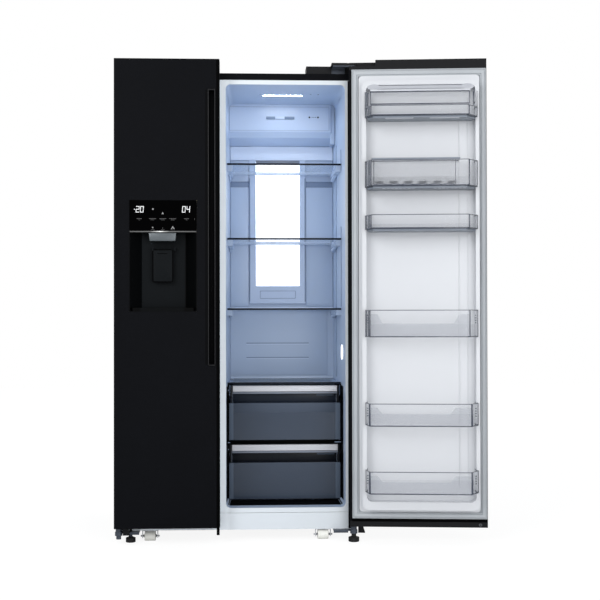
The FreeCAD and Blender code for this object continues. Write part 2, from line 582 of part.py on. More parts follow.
# ---------------------------------------------------------------- doors
def door_shell(width):
    """Pieces common to both doors, hinged on the left: skin, caps, liner, foam, gasket."""
    x0 = -HALF
    x1 = x0 + width
    cap_low, cap_high = DOOR_BOTTOM + CAP_LOW, DOOR_TOP - CAP_HIGH
    skin = block((x0, x1), (DOOR_OUT, DOOR_IN), (DOOR_BOTTOM, DOOR_TOP))
    skin = rounded(skin, 4.0, lambda p: p.y < DOOR_OUT + 1 and DOOR_BOTTOM <= p.z <= DOOR_TOP)
    inner_x = (x0 + SHEET, x1 - SHEET)
    skin = skin.cut(block(inner_x, (DOOR_OUT + SHEET, 1), (0, 2 * DOOR_TOP)))
    for x in ((x0 + SHEET, x0 + 14), (x1 - 14, x1 - SHEET)):
        skin = skin.fuse(block(x, (DOOR_IN - SHEET, DOOR_IN), (cap_low, cap_high)))
    notch = block((x0 - 1, x0 + NOTCH_WIDTH), (PIVOT_Y - NOTCH_REACH, 1),
                  (NOTCH_FLOOR, 2 * DOOR_TOP))
    skin = skin.removeSplitter().cut(notch)

    body = (DOOR_OUT + SHEET, DOOR_IN)
    top_cap = block(inner_x, body, (cap_high, DOOR_TOP)).cut(notch)
    top_cap = top_cap.cut(rod((-PIVOT_X, PIVOT_Y, NOTCH_FLOOR - 12), (0, 0, 1),
                              PIN_R + RUNNING, 40))
    bottom_cap = block(inner_x, body, (DOOR_BOTTOM, cap_low))
    bottom_cap = bottom_cap.cut(rod((-PIVOT_X, PIVOT_Y, DOOR_BOTTOM - 1), (0, 0, 1),
                                    PIN_R + RUNNING, 17))
    ear = prism_z([(-PIVOT_X + 16, PIVOT_Y - 14), (-PIVOT_X + 46, PIVOT_Y - 14),
                   (-PIVOT_X + 46, PIVOT_Y + 3), (-PIVOT_X + 16, PIVOT_Y + 3)],
                  (DOOR_BOTTOM - 27, DOOR_BOTTOM))
    slant = prism_z([(0, 0), (40, 0), (40, 40), (0, 40)], (0, 60))
    slant.rotate(V(0, 0, 0), V(0, 1, 0), -18)
    slant.translate(V(-PIVOT_X + 46, PIVOT_Y - 22, DOOR_BOTTOM - 40))
    caps = [top_cap, bottom_cap, ear.cut(slant)]

    # stepped rim of the liner: a wide base inside the gasket, then the dike proper
    base_x, base_z = (x0 + 36, x1 - 27), (116.0, DOOR_TOP - 62)
    dike_x, dike_z = (x0 + 48, x1 - 31), (128.0, DOOR_TOP - 86)
    well_x, well_z = (x0 + 63.5, x1 - 44.5), (158.0, DOOR_TOP - 102)
    rim, ledge, well_floor = 34.0, -1.0, -8.0
    back = DOOR_IN - SHEET - 2

    def rim_body(shrink):
        base = slab((base_x[0] + shrink, base_x[1] - shrink),
                    (base_z[0] + shrink, base_z[1] - shrink), 14, (back, ledge - shrink))
        dike = slab((dike_x[0] + shrink, dike_x[1] - shrink),
                    (dike_z[0] + shrink, dike_z[1] - shrink), 24, (back, rim - shrink))
        well = slab((well_x[0] - shrink, well_x[1] + shrink),
                    (well_z[0] - shrink, well_z[1] + shrink), 20 + shrink,
                    (well_floor - shrink, rim + 1))
        return base.fuse(dike).cut(well)

    plate = block(inner_x, (back, back + 2), (cap_low, cap_high))
    core = rim_body(PLASTIC)
    liner = plate.fuse(rim_body(0)).cut(core)
    bulk = block(inner_x, (DOOR_OUT + SHEET, back), (cap_low, cap_high))

    gasket = ring((x0 + 14, x1 - 2), (DOOR_BOTTOM + 29, cap_high), base_x, base_z, (6, 14),
                  (DOOR_IN, -CLEAR))
    outer_edges = [e for e in gasket.Edges
                   if all(abs(v.Point.y + CLEAR) < 0.01 for v in e.Vertexes)]
    gasket = gasket.makeChamfer(2.0, outer_edges)
    return {"skin": skin, "caps": caps, "liner": liner, "core": core, "foam": bulk,
            "gasket": gasket, "well": (well_x, well_z, well_floor, rim)}


def door_handle(width):
    """Recessed grip: a raised bezel round a deep channel, undercut towards the hinge."""
    x1 = -HALF + width - HANDLE_IN
    x0 = x1 - HANDLE_WIDTH
    z = (HANDLE_Z, HANDLE_END)
    side = (HANDLE_WIDTH - MOUTH) / 2
    bezel = slab((x0, x1), z, 6, (DOOR_OUT - 2, DOOR_OUT))
    bezel = rounded(bezel, 1.6, lambda p: p.y < DOOR_OUT - 1.9)
    floor, undercut, wall = DOOR_OUT + GRIP_DEPTH, 12.0, 2.0
    mouth_z = (z[0] + side, z[1] - side)
    mouth = slab((x0 + side, x1 - side), mouth_z, 4, (DOOR_OUT - 3, floor))
    under = slab((x0 + side - undercut, x1 - side), mouth_z, 4, (DOOR_OUT + 7, floor))
    tub = slab((x0 + side - undercut - wall, x1 - side + wall),
               (mouth_z[0] - wall, mouth_z[1] + wall), 5, (DOOR_OUT, floor + wall))
    return fuse(bezel, tub).cut(mouth).cut(under), tub


def bin_box(well, z, depth):
    """Clear tub hooked between the rims of the door liner; narrower at its front."""
    (x0, x1), _, floor, rim = well
    front = DOOR_IN + depth
    clear = rim + CLEAR

    def plan(inset, z):
        points = [(x0 + inset, floor + inset), (x1 - inset, floor + inset),
                  (x1 - inset, clear + inset), (x1 + 8 - inset, clear + inset),
                  (x1 + 6 - inset, clear + 13), (x1 - 26 - inset, front - inset),
                  (x0 + 16 + inset, front - inset), (x0 - 4 + inset, clear + 13),
                  (x0 - 6 + inset, clear + inset), (x0 + inset, clear + inset)]
        return prism_z(points, z)

    tub = plan(0, z)
    tub = rounded(tub, 10, lambda p: p.y > front - 0.1)
    return tub.cut(plan(BIN_WALL, (z[0] + BIN_WALL, z[1] + 1)))


def freezer_door():
    parts = door_shell(FREEZER_DOOR_WIDTH)
    x0 = -HALF + DISPENSER_X
    x1 = -HALF + DISPENSER_END
    skin = parts["skin"].cut(slab((x0, x1), (DISPENSER_Z, PANEL_TOP), 3,
                                  (DOOR_OUT - 1, DOOR_OUT + 3)))
    handle, tub = door_handle(FREEZER_DOOR_WIDTH)
    skin = skin.cut(tub)
    back = DOOR_OUT + RECESS_DEPTH

    # dispenser housing: a tub whose sides slope in to the back wall, under the panel bay
    def recess(grow, front):
        mouth = outline((x0 + 2 - grow, x1 - 2 + grow), (DISPENSER_Z + 2 - grow,
                        RECESS_TOP + grow), 4, front)
        rear = outline((x0 + RECESS_SLOPE - grow, x1 - RECESS_SLOPE + grow),
                       (DISPENSER_Z + 2 - grow, RECESS_TOP + grow), 4, back + grow)
        return Part.makeLoft([mouth, rear], True, True)

    bay = slab((x0 + 0.2, x1 - 0.2), (DISPENSER_Z + 0.2, PANEL_TOP - 0.2), 3,
               (DOOR_OUT - 1, DOOR_OUT + 12))
    hollow = recess(0, DOOR_OUT - 1.5)
    shell = fuse(bay, recess(2, DOOR_OUT - 1))
    shell = shell.cut(hollow)
    panel_x, panel_z = (x0 + 0.6, x1 - 0.6), (PANEL_Z, PANEL_TOP - 0.6)
    shell = shell.cut(slab(panel_x, panel_z, 2.5, (DOOR_OUT - 2, DOOR_OUT + 3)))
    strip = block((x0 + 1, x1 - 1), (DOOR_OUT - 2, DOOR_OUT + 3), (RECESS_TOP + 0.4, PANEL_Z))
    shell = shell.cut(strip)
    middle = (x0 + x1) / 2 + 0.5
    half = PADDLE_WIDTH / 2
    pivot = (back - PADDLE_BACK, DISPENSER_Z + PADDLE_LIFT + PADDLE_HEIGHT)
    ears = []
    for side in (-1, 1):
        ex = middle + side * (half + 5)
        ear = block((ex - 3, ex + 3), (pivot[0] - 5, back), (pivot[1] - 6, pivot[1] + 6))
        ears.append(ear.cut(rod((ex - 4, *pivot), (1, 0, 0), 2 + RUNNING, 8)))
    shell = fuse(shell, *ears)
    tray_z = (DISPENSER_Z + 2, DISPENSER_Z + 14)
    tray = block((x0 + 12, x1 - 12), (DOOR_OUT, back), tray_z).common(hollow)
    groove_in, groove_pitch, groove_width = 40.0, 14.0, 6.0
    grooves = []
    for i in range(round((x1 - x0 - 2 * groove_in + 2) / groove_pitch)):
        gx = x0 + groove_in + i * groove_pitch
        grooves.append(block((gx, gx + groove_width), (DOOR_OUT + 8, back - 8),
                             (tray_z[1] - 6, tray_z[1] + 1)))
    tray = tray.cut(Part.makeCompound(grooves))
    nodes["dispenser_housing"] = Part.makeCompound([shell, tray])
    nodes["dispenser_panel"] = slab(panel_x, panel_z, 2.5, (DOOR_OUT - 1.5, DOOR_OUT + 3))

    nozzle = prism_x([(0, 0), (34, 0), (34, -24), (6, -30), (0, -30)], (-50, 50))
    trim = [(-50, 0), (50, 0), (46.5, -30), (-46.5, -30)]
    wire = Part.makePolygon([V(px, -1, pz) for px, pz in trim + trim[:1]])
    nozzle = nozzle.common(Part.Face(wire).extrude(V(0, 60, 0)))
    nozzle.translate(V(middle, DOOR_OUT + 4, RECESS_TOP))
    nodes["dispenser_spout"] = Part.makeCompound([strip, nozzle])

    plate_y = (pivot[0] - 1.5, pivot[0] + 1.5)
    plate = slab((middle - half, middle + half), (pivot[1] - PADDLE_HEIGHT, pivot[1] + 3),
                 6, plate_y)
    pins = [rod((middle + s * half - (8 if s < 0 else 0), *pivot), (1, 0, 0), 2, 8)
            for s in (-1, 1)]
    roll = rod((middle - half, *pivot), (1, 0, 0), 3.2, PADDLE_WIDTH)
    nodes["dispenser_paddle"] = fuse(plate, roll, *pins)

    # the liner bulges inwards behind the recess, and four bins hang on it
    well = parts["well"]
    pad_x = (well[0][0] + 16, well[0][1] - 60)
    pad_z = (DISPENSER_Z - 30, PANEL_TOP + 20)
    pad_y = 14.0
    pad = slab(pad_x, pad_z, 16, (well[2] - PLASTIC, pad_y))
    pad_core = slab((pad_x[0] + PLASTIC, pad_x[1] - PLASTIC),
                    (pad_z[0] + PLASTIC, pad_z[1] - PLASTIC), 14,
                    (well[2] - 10, pad_y - PLASTIC))
    liner = parts["liner"].fuse(pad).cut(pad_core)
    door_pieces("freezer", parts, skin, liner, handle,
                [parts["core"], pad_core], [tub, bay, recess(2, DOOR_OUT - 1), *ears], None)
    floors = FREEZER_BINS_LOW + tuple(DOOR_TOP - down for down in FREEZER_BINS_HIGH)
    bins = [bin_box(well, (z, z + FREEZER_BIN_HEIGHT), FREEZER_BIN_DEPTH) for z in floors]
    nodes["freezer_door_bins"] = Part.makeCompound(bins)


def door_pieces(name, parts, skin, liner, handle, cores, solids_in_foam, place):
    """Put the pieces of one door into the node table, moved to their place."""
    foam = parts["foam"]
    for core in cores:
        foam = foam.fuse(core)
    for solid in solids_in_foam:
        foam = foam.cut(solid)
    foam = max(foam.removeSplitter().Solids, key=lambda s: s.Volume)
    pieces = {"door_skin": skin, "door_liner": liner, "door_foam": foam,
              "door_gasket": parts["gasket"], "door_caps": Part.makeCompound(parts["caps"]),
              "door_handle": handle}
    for key, shape in pieces.items():
        nodes[name + "_" + key] = place(shape) if place else shape


def open_fridge_door(shape):
    """Mirror a left hinged piece to the right side and swing it open about its pin."""
    turned = shape.mirror(V(0, 0, 0), V(1, 0, 0))
    turned.rotate(V(PIVOT_X, PIVOT_Y, 0), V(0, 0, 1), OPEN_ANGLE)
    return turned


def fridge_door():
    parts = door_shell(FRIDGE_DOOR_WIDTH)
    handle, tub = door_handle(FRIDGE_DOOR_WIDTH)
    well = parts["well"]
    low, high = well[1]
    span = high - low
    stations = {
        "door_bin_low": (low + 0.024 * span, 81),
        "door_bin_second": (low + 0.184 * span, 82),
        "door_bin_third": (low + 0.395 * span, 98),
        "door_bin_narrow": (low + 0.652 * span, 51),
        "door_bin_egg": (low + 0.753 * span, 95),
        "door_bin_dairy": (low + 0.920 * span, 43),
    }
    shapes = {name: bin_box(well, (z, z + h), BIN_DEPTH)
              for name, (z, h) in stations.items()}
    door_pieces("fridge", parts, parts["skin"].cut(tub), parts["liner"], handle,
                [parts["core"]], [tub], open_fridge_door)

    # dairy box: cheeks rise beside the lid, whose pins turn in them
    x0, x1 = well[0]
    bottom = stations["door_bin_dairy"][0]
    front = DOOR_IN + BIN_DEPTH
    axis_y, axis_z, pin_r = DOOR_IN + LID_BACK, bottom + LID_RISE, 2.5
    cheeks = []
    for a, b in ((x0 + 6, x0 + 9), (x1 - 9, x1 - 6)):
        cheek = prism_x([(well[2] + 1, bottom + 20), (front - 22, bottom + 20),
                         (front - 30, bottom + 50), (axis_y + 10, axis_z + 2),
                         (axis_y - 8, axis_z + 6), (well[2] + 1, axis_z + 6)], (a, b))
        cheek = cheek.cut(rod((a - 1, axis_y, axis_z), (1, 0, 0), pin_r + RUNNING, 6))
        cheeks.append(cheek)
    shapes["door_bin_dairy"] = fuse(shapes["door_bin_dairy"], *cheeks)
    lid_x = (x0 + 10, x1 - 10)
    lid_front = front + 1
    face_x = (x0 + 16, x1 - 26)
    top = prism_x([(axis_y - 3, axis_z - 1), (axis_y + 3, axis_z + 2), (lid_front, axis_z - 22),
                   (lid_front + 2, axis_z - 26), (lid_front, axis_z - 28),
                   (axis_y, axis_z - 5)], lid_x)
    drop = prism_x([(lid_front, axis_z - 24), (lid_front + 2, axis_z - 26),
                    (lid_front + 2, bottom + 46), (lid_front, bottom + 46)], face_x)
    trim_left = prism_z([(lid_x[0] - 1, axis_y + 6), (face_x[0], lid_front + 3),
                         (lid_x[0] - 1, lid_front + 3)], (bottom, axis_z + 9))
    trim_right = prism_z([(lid_x[1] + 1, axis_y + 6), (lid_x[1] + 1, lid_front + 3),
                          (face_x[1], lid_front + 3)], (bottom, axis_z + 9))
    barrel = rod((x0 + 5.5, axis_y, axis_z), (1, 0, 0), pin_r, x1 - x0 - 11)
    lid = fuse(top.cut(trim_left).cut(trim_right), drop, barrel)

    # egg tray standing in its bin: a clear tub over a row of cups
    egg_z = stations["door_bin_egg"][0]
    tray_x = (x0 + 20, x1 - 60)
    tray_y = (DOOR_IN + 14, DOOR_IN + BIN_DEPTH - 11)
    tray_z = (egg_z + BIN_WALL + 0.2, egg_z + 88)
    tray = slab(tray_x, tray_z, 6, tray_y)
    tray = tray.cut(block((tray_x[0] + 2, tray_x[1] - 2), (tray_y[0] + 2, tray_y[1] - 2),
                          (tray_z[0] + 14, tray_z[1] + 1)))
    row, cup_r, cup_in, cup_lift = 6, 19.0, 24.0, 22.0
    pitch = (tray_x[1] - tray_x[0]) / row
    cups = []
    for i in range(row):
        for y in (tray_y[0] + cup_in, tray_y[1] - cup_in):
            centre = V(tray_x[0] + pitch * (i + 0.5), y, tray_z[0] + cup_lift)
            cups.append(Part.makeSphere(cup_r, centre))
    tray = tray.cut(Part.makeCompound(cups))

    low_bins = ("door_bin_low", "door_bin_second", "door_bin_third")
    lowers = [open_fridge_door(shapes[name]) for name in low_bins]
    nodes["door_bins_lower"] = Part.makeCompound(lowers)
    for name in ("door_bin_narrow", "door_bin_egg", "door_bin_dairy"):
        nodes[name] = open_fridge_door(shapes[name])
    nodes["dairy_lid"] = open_fridge_door(lid)
    nodes["egg_tray"] = open_fridge_door(tray)


# ---------------------------------------------------------------- hinges, feet, rollers
def hinges():
    """Steel brackets, built for the right side and mirrored."""
    arm_z = (NOTCH_FLOOR + 1.5, NOTCH_FLOOR + 5.5)
    plate = block((PIVOT_X - 130, PIVOT_X), (22, 76), (CABINET_TOP, CABINET_TOP + 3))
    riser = block((PIVOT_X - 75, PIVOT_X - 25), (22, 27), (CABINET_TOP, arm_z[1]))
    leg = block((PIVOT_X - 75, PIVOT_X - 25), (PIVOT_Y - 12, 27), arm_z)
    neck = block((PIVOT_X - 30, PIVOT_X), (PIVOT_Y - 12, PIVOT_Y + 12), arm_z)
    eye = rod((PIVOT_X, PIVOT_Y, arm_z[0]), (0, 0, 1), 13, arm_z[1] - arm_z[0])
    pin = rod((PIVOT_X, PIVOT_Y, NOTCH_FLOOR - 10), (0, 0, 1), PIN_R, 12)
    top = fuse(plate, riser, leg, neck, eye, pin)

    low_z = (CABINET_BOTTOM - 4, CABINET_BOTTOM)
    front_y = PIVOT_Y + 10
    plate = block((PIVOT_X - 74, PIVOT_X + 14), (front_y, 60), low_z)
    lip = prism_x([(front_y, low_z[0] - 6), (front_y + 4, low_z[0] - 6), (front_y + 4, low_z[1]),
                   (front_y, low_z[1])], (PIVOT_X - 74, PIVOT_X - 20))
    disc = rod((PIVOT_X, PIVOT_Y, low_z[0] - 6), (0, 0, 1), 13.5, 14)
    web = block((PIVOT_X - 13.5, PIVOT_X + 13.5), (PIVOT_Y, front_y + 2), low_z)
    pin = rod((PIVOT_X, PIVOT_Y, low_z[1]), (0, 0, 1), PIN_R, DOOR_BOTTOM + 14 - low_z[1])
    washer = rod((PIVOT_X, PIVOT_Y, low_z[1] + 4), (0, 0, 1), 11,
                 DOOR_BOTTOM - CLEAR - low_z[1] - 4)
    bottom = fuse(plate, lip, disc, web, pin, washer)
    right_bottom = bottom.cut(rod((PIVOT_X, PIVOT_Y, 0), (0, 0, 1), 4 + RUNNING,
                                  low_z[1]))
    left_bottom = bottom.mirror(V(0, 0, 0), V(1, 0, 0))
    left_bottom = left_bottom.fuse(rod((-PIVOT_X, PIVOT_Y, 17), (0, 0, 1), 9, low_z[0] - 20))
    left_bottom = left_bottom.cut(rod((-PIVOT_X + LEFT_FOOT[0], PIVOT_Y + LEFT_FOOT[1], 0),
                                      (0, 0, 1), 5 + RUNNING, 60))
    nodes["hinge_brackets"] = Part.makeCompound(both_sides(top) + [right_bottom,
                                                                   left_bottom])

    lid_z = (arm_z[1] + 0.5, DOOR_TOP - 8)
    lobe_reach = NOTCH_WIDTH - PIVOT_IN - 3.5
    rear_x = (PIVOT_X - 171, HALF - 2.5)
    rear = block(rear_x, (10, 88), (CABINET_TOP, lid_z[1]))
    lobe = block((PIVOT_X - lobe_reach, PIVOT_X - 21), (PIVOT_Y - NOTCH_REACH + 1, 12), lid_z)
    bridge = block((PIVOT_X - 22, PIVOT_X), (PIVOT_Y - 14, PIVOT_Y + 14), lid_z)
    cap = rod((PIVOT_X, PIVOT_Y, lid_z[0]), (0, 0, 1), 14, lid_z[1] - lid_z[0])
    cover = fuse(rear, lobe, bridge, cap)
    cover = cover.cut(block((rear_x[0] + 2.5, rear_x[1] - 2.5), (12.5, 85.5),
                            (0, lid_z[1] - 2.5)))
    cover = cover.cut(block((PIVOT_X - 76, PIVOT_X - 24), (9, 14), (0, lid_z[0])))
    nodes["hinge_covers"] = Part.makeCompound(both_sides(cover))


def feet():
    """Levelling feet: the right one stands under the hinge pin, the left one beside it."""
    def foot(x, y, pad_r, stud_r, stud_top, collar_top):
        pad = Part.makeCylinder(pad_r, FOOT_HEIGHT, V(x, y, 0))
        pad = pad.makeFillet(2.0, [e for e in pad.Edges if len(e.Vertexes) == 1])
        parts = [pad, rod((x, y, FOOT_HEIGHT - 1), (0, 0, 1), stud_r, stud_top - FOOT_HEIGHT + 1)]
        parts.append(rod((x, y, FOOT_HEIGHT - 1), (0, 0, 1), 9, collar_top - FOOT_HEIGHT + 1))
        return fuse(*parts)

    low = CABINET_BOTTOM - 10
    nodes["right_front_foot"] = foot(PIVOT_X, PIVOT_Y, FOOT_R, 4, CABINET_BOTTOM - 1,
                                     low - CLEAR)
    nodes["left_front_foot"] = foot(-PIVOT_X + LEFT_FOOT[0], PIVOT_Y + LEFT_FOOT[1], FOOT_R - 2,
                                    5, CABINET_BOTTOM + 14, FOOT_HEIGHT + 4)


def rollers():
    """Four rollers: two short axles at the front, one through axle at the rear."""
    def fork(x, y, bored):
        half = WHEEL_WIDTH / 2 + 8
        head = block((x - half, x + half), (y - 16, y + 16), (CABINET_BOTTOM - 2, CABINET_BOTTOM))
        sides = [block((x + s * half - 1, x + s * half + 1), (y - 9, y + 9),
                       (WHEEL_R - 7, CABINET_BOTTOM)) for s in (-1, 1)]
        if bored:
            hole = rod((x - 60, y, WHEEL_R), (1, 0, 0), AXLE_R + RUNNING, 120)
            return fuse(head, *sides).cut(hole)
        axle = rod((x - half - 7, y, WHEEL_R), (1, 0, 0), AXLE_R, 2 * half + 14)
        return fuse(head, axle, *sides)

    def wheel(x, y):
        tyre = rod((x - WHEEL_WIDTH / 2, y, WHEEL_R), (1, 0, 0), WHEEL_R, WHEEL_WIDTH)
        return tyre.makeFillet(3.0, [e for e in tyre.Edges if len(e.Vertexes) == 1])

    forks = []
    for side, label in ((-1, "left"), (1, "right")):
        forks.append(fork(side * WHEEL_X, WHEEL_Y, False))
        forks.append(fork(side * WHEEL_X, REAR_WHEEL_Y, True))
        bore = rod((side * WHEEL_X - 40, WHEEL_Y, WHEEL_R), (1, 0, 0), AXLE_R + RUNNING, 80)
        nodes[label + "_front_roller"] = wheel(side * WHEEL_X, WHEEL_Y).cut(bore)
    nodes["roller_brackets"] = Part.makeCompound(forks)
    reach = WHEEL_X + WHEEL_WIDTH / 2 + 14
    axle = rod((-reach, REAR_WHEEL_Y, WHEEL_R), (1, 0, 0), AXLE_R, 2 * reach)
    nodes["rear_rollers"] = fuse(axle, wheel(-WHEEL_X, REAR_WHEEL_Y),
                                 wheel(WHEEL_X, REAR_WHEEL_Y))


# ---------------------------------------------------------------- build and write
cabinet()
crisper("lower_crisper", LOWER_CRISPER, STEP_Y - 10)
crisper("upper_crisper", UPPER_CRISPER, SHELF_BACK - 5)
hinges()
feet()
rollers()
freezer_door()
fridge_door()

os.makedirs("parts", exist_ok=True)
for name, shape in nodes.items():
    shape.exportStep("parts/" + name + ".step")
    bad = "" if shape.isValid() else "  INVALID"
    print(f"{name:24s} solids {len(shape.Solids):3d}  volume {shape.Volume / 1e3:10.1f} cm3{bad}")
print("nodes:", len(nodes))
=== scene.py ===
# %% [markdown]
# # A side by side refrigerator with its right door standing open
#
# The imported model gives every working piece at its real size. This lesson adds what makes
# them look real: finishes built from nodes, and the small moulded, printed and soft pieces
# that sit on them. First the model is loaded. Nothing added later may make the object
# larger.

# %% Load the model
import json
import math
import bmesh
import bpy
from mathutils import Matrix, Vector


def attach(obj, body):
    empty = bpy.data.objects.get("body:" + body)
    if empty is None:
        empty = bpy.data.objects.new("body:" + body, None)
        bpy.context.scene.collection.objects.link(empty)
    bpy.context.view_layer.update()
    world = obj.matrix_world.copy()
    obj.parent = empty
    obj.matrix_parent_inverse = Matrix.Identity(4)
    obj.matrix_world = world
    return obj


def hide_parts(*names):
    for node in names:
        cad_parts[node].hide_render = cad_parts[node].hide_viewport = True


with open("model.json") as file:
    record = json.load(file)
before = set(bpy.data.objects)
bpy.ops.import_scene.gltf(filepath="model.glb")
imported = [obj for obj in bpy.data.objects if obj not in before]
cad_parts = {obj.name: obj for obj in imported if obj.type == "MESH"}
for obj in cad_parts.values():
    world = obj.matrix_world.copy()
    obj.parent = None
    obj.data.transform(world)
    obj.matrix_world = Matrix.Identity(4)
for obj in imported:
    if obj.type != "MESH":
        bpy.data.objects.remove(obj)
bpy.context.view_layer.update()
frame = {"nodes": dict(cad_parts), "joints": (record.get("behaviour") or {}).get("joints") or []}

nodes = frame["nodes"]

# %% [markdown]
# ## Measuring the model
#
# Sizes are written in millimetres, because that is how such a product is drawn, and one
# number turns them into Blender's metres. Both doors are the same moulding seen in a
# mirror, so pieces for a door are drawn once, as if the door were closed and hinged on the
# left. The fridge door's pieces are then mirrored and swung round its hinge pin by one
# matrix. The hinge pin and the opening angle are read from the model's own joints.

# %% Units, joints and door placement
MM = 0.001
joints = {j["name"]: j for j in frame["joints"]}
fridge_pin = Vector(joints["fridge_door_hinge"]["pos_m"])
swing = -math.radians(joints["fridge_door_hinge"]["range_deg"][0])
hinge_line = Matrix.Translation(fridge_pin)
mirror_x = Matrix.Diagonal((-1, 1, 1, 1))
PLACE = {
    "freezer": Matrix.Identity(4),
    "fridge": hinge_line @ Matrix.Rotation(swing, 4, "Z") @ hinge_line.inverted() @ mirror_x,
    "cabinet": Matrix.Identity(4),
}
BODY = {"freezer": "freezer_door", "fridge": "fridge_door", "cabinet": "cabinet"}
DOORS = ("freezer", "fridge")


def span(node, place="cabinet"):
    """Lowest and highest corner of a node in millimetres, in a door's own closed frame."""
    back = PLACE[place].inverted()
    points = [back @ v.co for v in nodes[node].data.vertices]
    low = [min(p[i] for p in points) / MM for i in range(3)]
    high = [max(p[i] for p in points) / MM for i in range(3)]
    return low, high


def islands(node, place="cabinet"):
    """The same for each separate solid of a node, lowest solid first."""
    mesh = bmesh.new()
    mesh.from_mesh(nodes[node].data)
    bmesh.ops.remove_doubles(mesh, verts=mesh.verts, dist=1e-6)
    back = PLACE[place].inverted()
    left, found = set(mesh.verts), []
    while left:
        stack, group = [left.pop()], []
        while stack:
            vert = stack.pop()
            group.append(back @ vert.co)
            for edge in vert.link_edges:
                other = edge.other_vert(vert)
                if other in left:
                    left.remove(other)
                    stack.append(other)
        found.append(([min(p[i] for p in group) / MM for i in range(3)],
                      [max(p[i] for p in group) / MM for i in range(3)]))
    mesh.free()
    return sorted(found, key=lambda pair: (pair[0][2], pair[0][0]))


HALF = span("cabinet_shell")[1][0]
DOOR_FACE = span("freezer_door_skin")[0][1]
DOOR_INNER = span("freezer_door_skin")[1][1]
DOOR_HEAD = span("freezer_door_skin")[1][2]
CAPS_FLOOR = span("freezer_door_caps")[0][2]
WIDTH = {d: span(d + "_door_skin", d)[1][0] + HALF for d in DOORS}
WELL_LEFT, WELL_RIGHT = 63.5, 44.5


def well(door):
    """Left and right edge of the lining's well, where the bins hang."""
    return WELL_LEFT - HALF, WIDTH[door] - WELL_RIGHT - HALF


print("half width", HALF, "door face", DOOR_FACE, "door widths", WIDTH)

# %% [markdown]
# ## Small builders
#
# Moulded pieces have no sharp edges, so the basic builder is a bar with bevelled edges.
# Flat shapes with any outline are extruded polygons with a bevel too. A seal or a bead is
# a section swept round a rectangle with mitred corners.

# %% Builders for bars, plates and swept frames
def place(name, mesh, finish, slot, door="cabinet", body=None, smooth=35):
    """Turn a bmesh in millimetres into a finished piece."""
    bmesh.ops.transform(mesh, matrix=Matrix.Scale(MM, 4), verts=mesh.verts)
    bmesh.ops.transform(mesh, matrix=PLACE[door], verts=mesh.verts)
    bmesh.ops.recalc_face_normals(mesh, faces=mesh.faces)
    data = bpy.data.meshes.new(name)
    mesh.to_mesh(data)
    mesh.free()
    data.shade_smooth()
    data.set_sharp_from_angle(angle=math.radians(smooth))
    data.materials.append(finish)
    piece = bpy.data.objects.new(name, data)
    bpy.context.scene.collection.objects.link(piece)
    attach(piece, body or BODY[door])
    return piece


def soften(mesh, width):
    """Round every edge that turns a corner."""
    if width:
        edges = [e for e in mesh.edges if e.is_manifold and e.calc_face_angle(0) > 0.6]
        bmesh.ops.bevel(mesh, geom=edges, offset=width, segments=2, affect="EDGES",
                        clamp_overlap=True, profile=0.6)


def add_bar(mesh, x, y, z, bevel=0.0):
    """One rounded bar between pairs of limits, added to a mesh."""
    part = bmesh.new()
    bmesh.ops.create_cube(part, size=1)
    size = Matrix.Diagonal((x[1] - x[0], y[1] - y[0], z[1] - z[0], 1))
    centre = Matrix.Translation(((x[0] + x[1]) / 2, (y[0] + y[1]) / 2, (z[0] + z[1]) / 2))
    bmesh.ops.transform(part, matrix=centre @ size, verts=part.verts)
    soften(part, bevel)
    join(mesh, part)


def join(mesh, part):
    """Move all of part into mesh."""
    data = bpy.data.meshes.new("part")
    part.to_mesh(data)
    part.free()
    mesh.from_mesh(data)
    bpy.data.meshes.remove(data)


def bars(limits, bevel=0.4):
    """Several rounded bars as one mesh."""
    mesh = bmesh.new()
    for x, y, z in limits:
        add_bar(mesh, x, y, z, bevel)
    return mesh


def add_plate(mesh, outline, low, high, turn, bevel=0.0):
    """A flat outline extruded from low to high; turn maps (a, b, depth) to (x, y, z)."""
    part = bmesh.new()
    bottom = [part.verts.new(turn(a, b, low)) for a, b in outline]
    top = [part.verts.new(turn(a, b, high)) for a, b in outline]
    part.faces.new(bottom)
    part.faces.new(list(reversed(top)))
    count = len(outline)
    for i in range(count):
        k = (i + 1) % count
        part.faces.new((bottom[k], bottom[i], top[i], top[k]))
    bmesh.ops.recalc_face_normals(part, faces=part.faces)
    soften(part, bevel)
    join(mesh, part)


def upright(a, b, depth):
    """Outline in X and Z, depth along Y."""
    return (a, depth, b)


def lying(a, b, depth):
    """Outline in X and Y, depth along Z."""
    return (a, b, depth)


def sideways(a, b, depth):
    """Outline in Y and Z, depth along X."""
    return (depth, a, b)


def round_corners(x, z, radius, steps=6):
    """Outline of a rectangle with round corners."""
    points = []
    left, right = x[0] + radius, x[1] - radius
    low, high = z[0] + radius, z[1] - radius
    for cx, cz, start in ((right, high, 0), (left, high, 90), (left, low, 180), (right, low, 270)):
        for i in range(steps + 1):
            a = math.radians(start + 90 * i / steps)
            points.append((cx + radius * math.cos(a), cz + radius * math.sin(a)))
    return points


def frame_sweep(mesh, outer, inner, profile):
    """Sweep a closed section round a rectangle with mitred corners. outer and inner are
    (x limits, z limits); the section's first number runs 0..1 from the outer to the inner
    edge, its second is depth."""
    rings = []
    for t, depth in profile:
        x0 = outer[0][0] + (inner[0][0] - outer[0][0]) * t
        x1 = outer[0][1] + (inner[0][1] - outer[0][1]) * t
        z0 = outer[1][0] + (inner[1][0] - outer[1][0]) * t
        z1 = outer[1][1] + (inner[1][1] - outer[1][1]) * t
        corners = ((x0, z0), (x1, z0), (x1, z1), (x0, z1))
        rings.append([mesh.verts.new((x, depth, z)) for x, z in corners])
    count = len(rings)
    for i in range(count):
        a, b = rings[i], rings[(i + 1) % count]
        for k in range(4):
            n = (k + 1) % 4
            mesh.faces.new((a[k], a[n], b[n], b[k]))


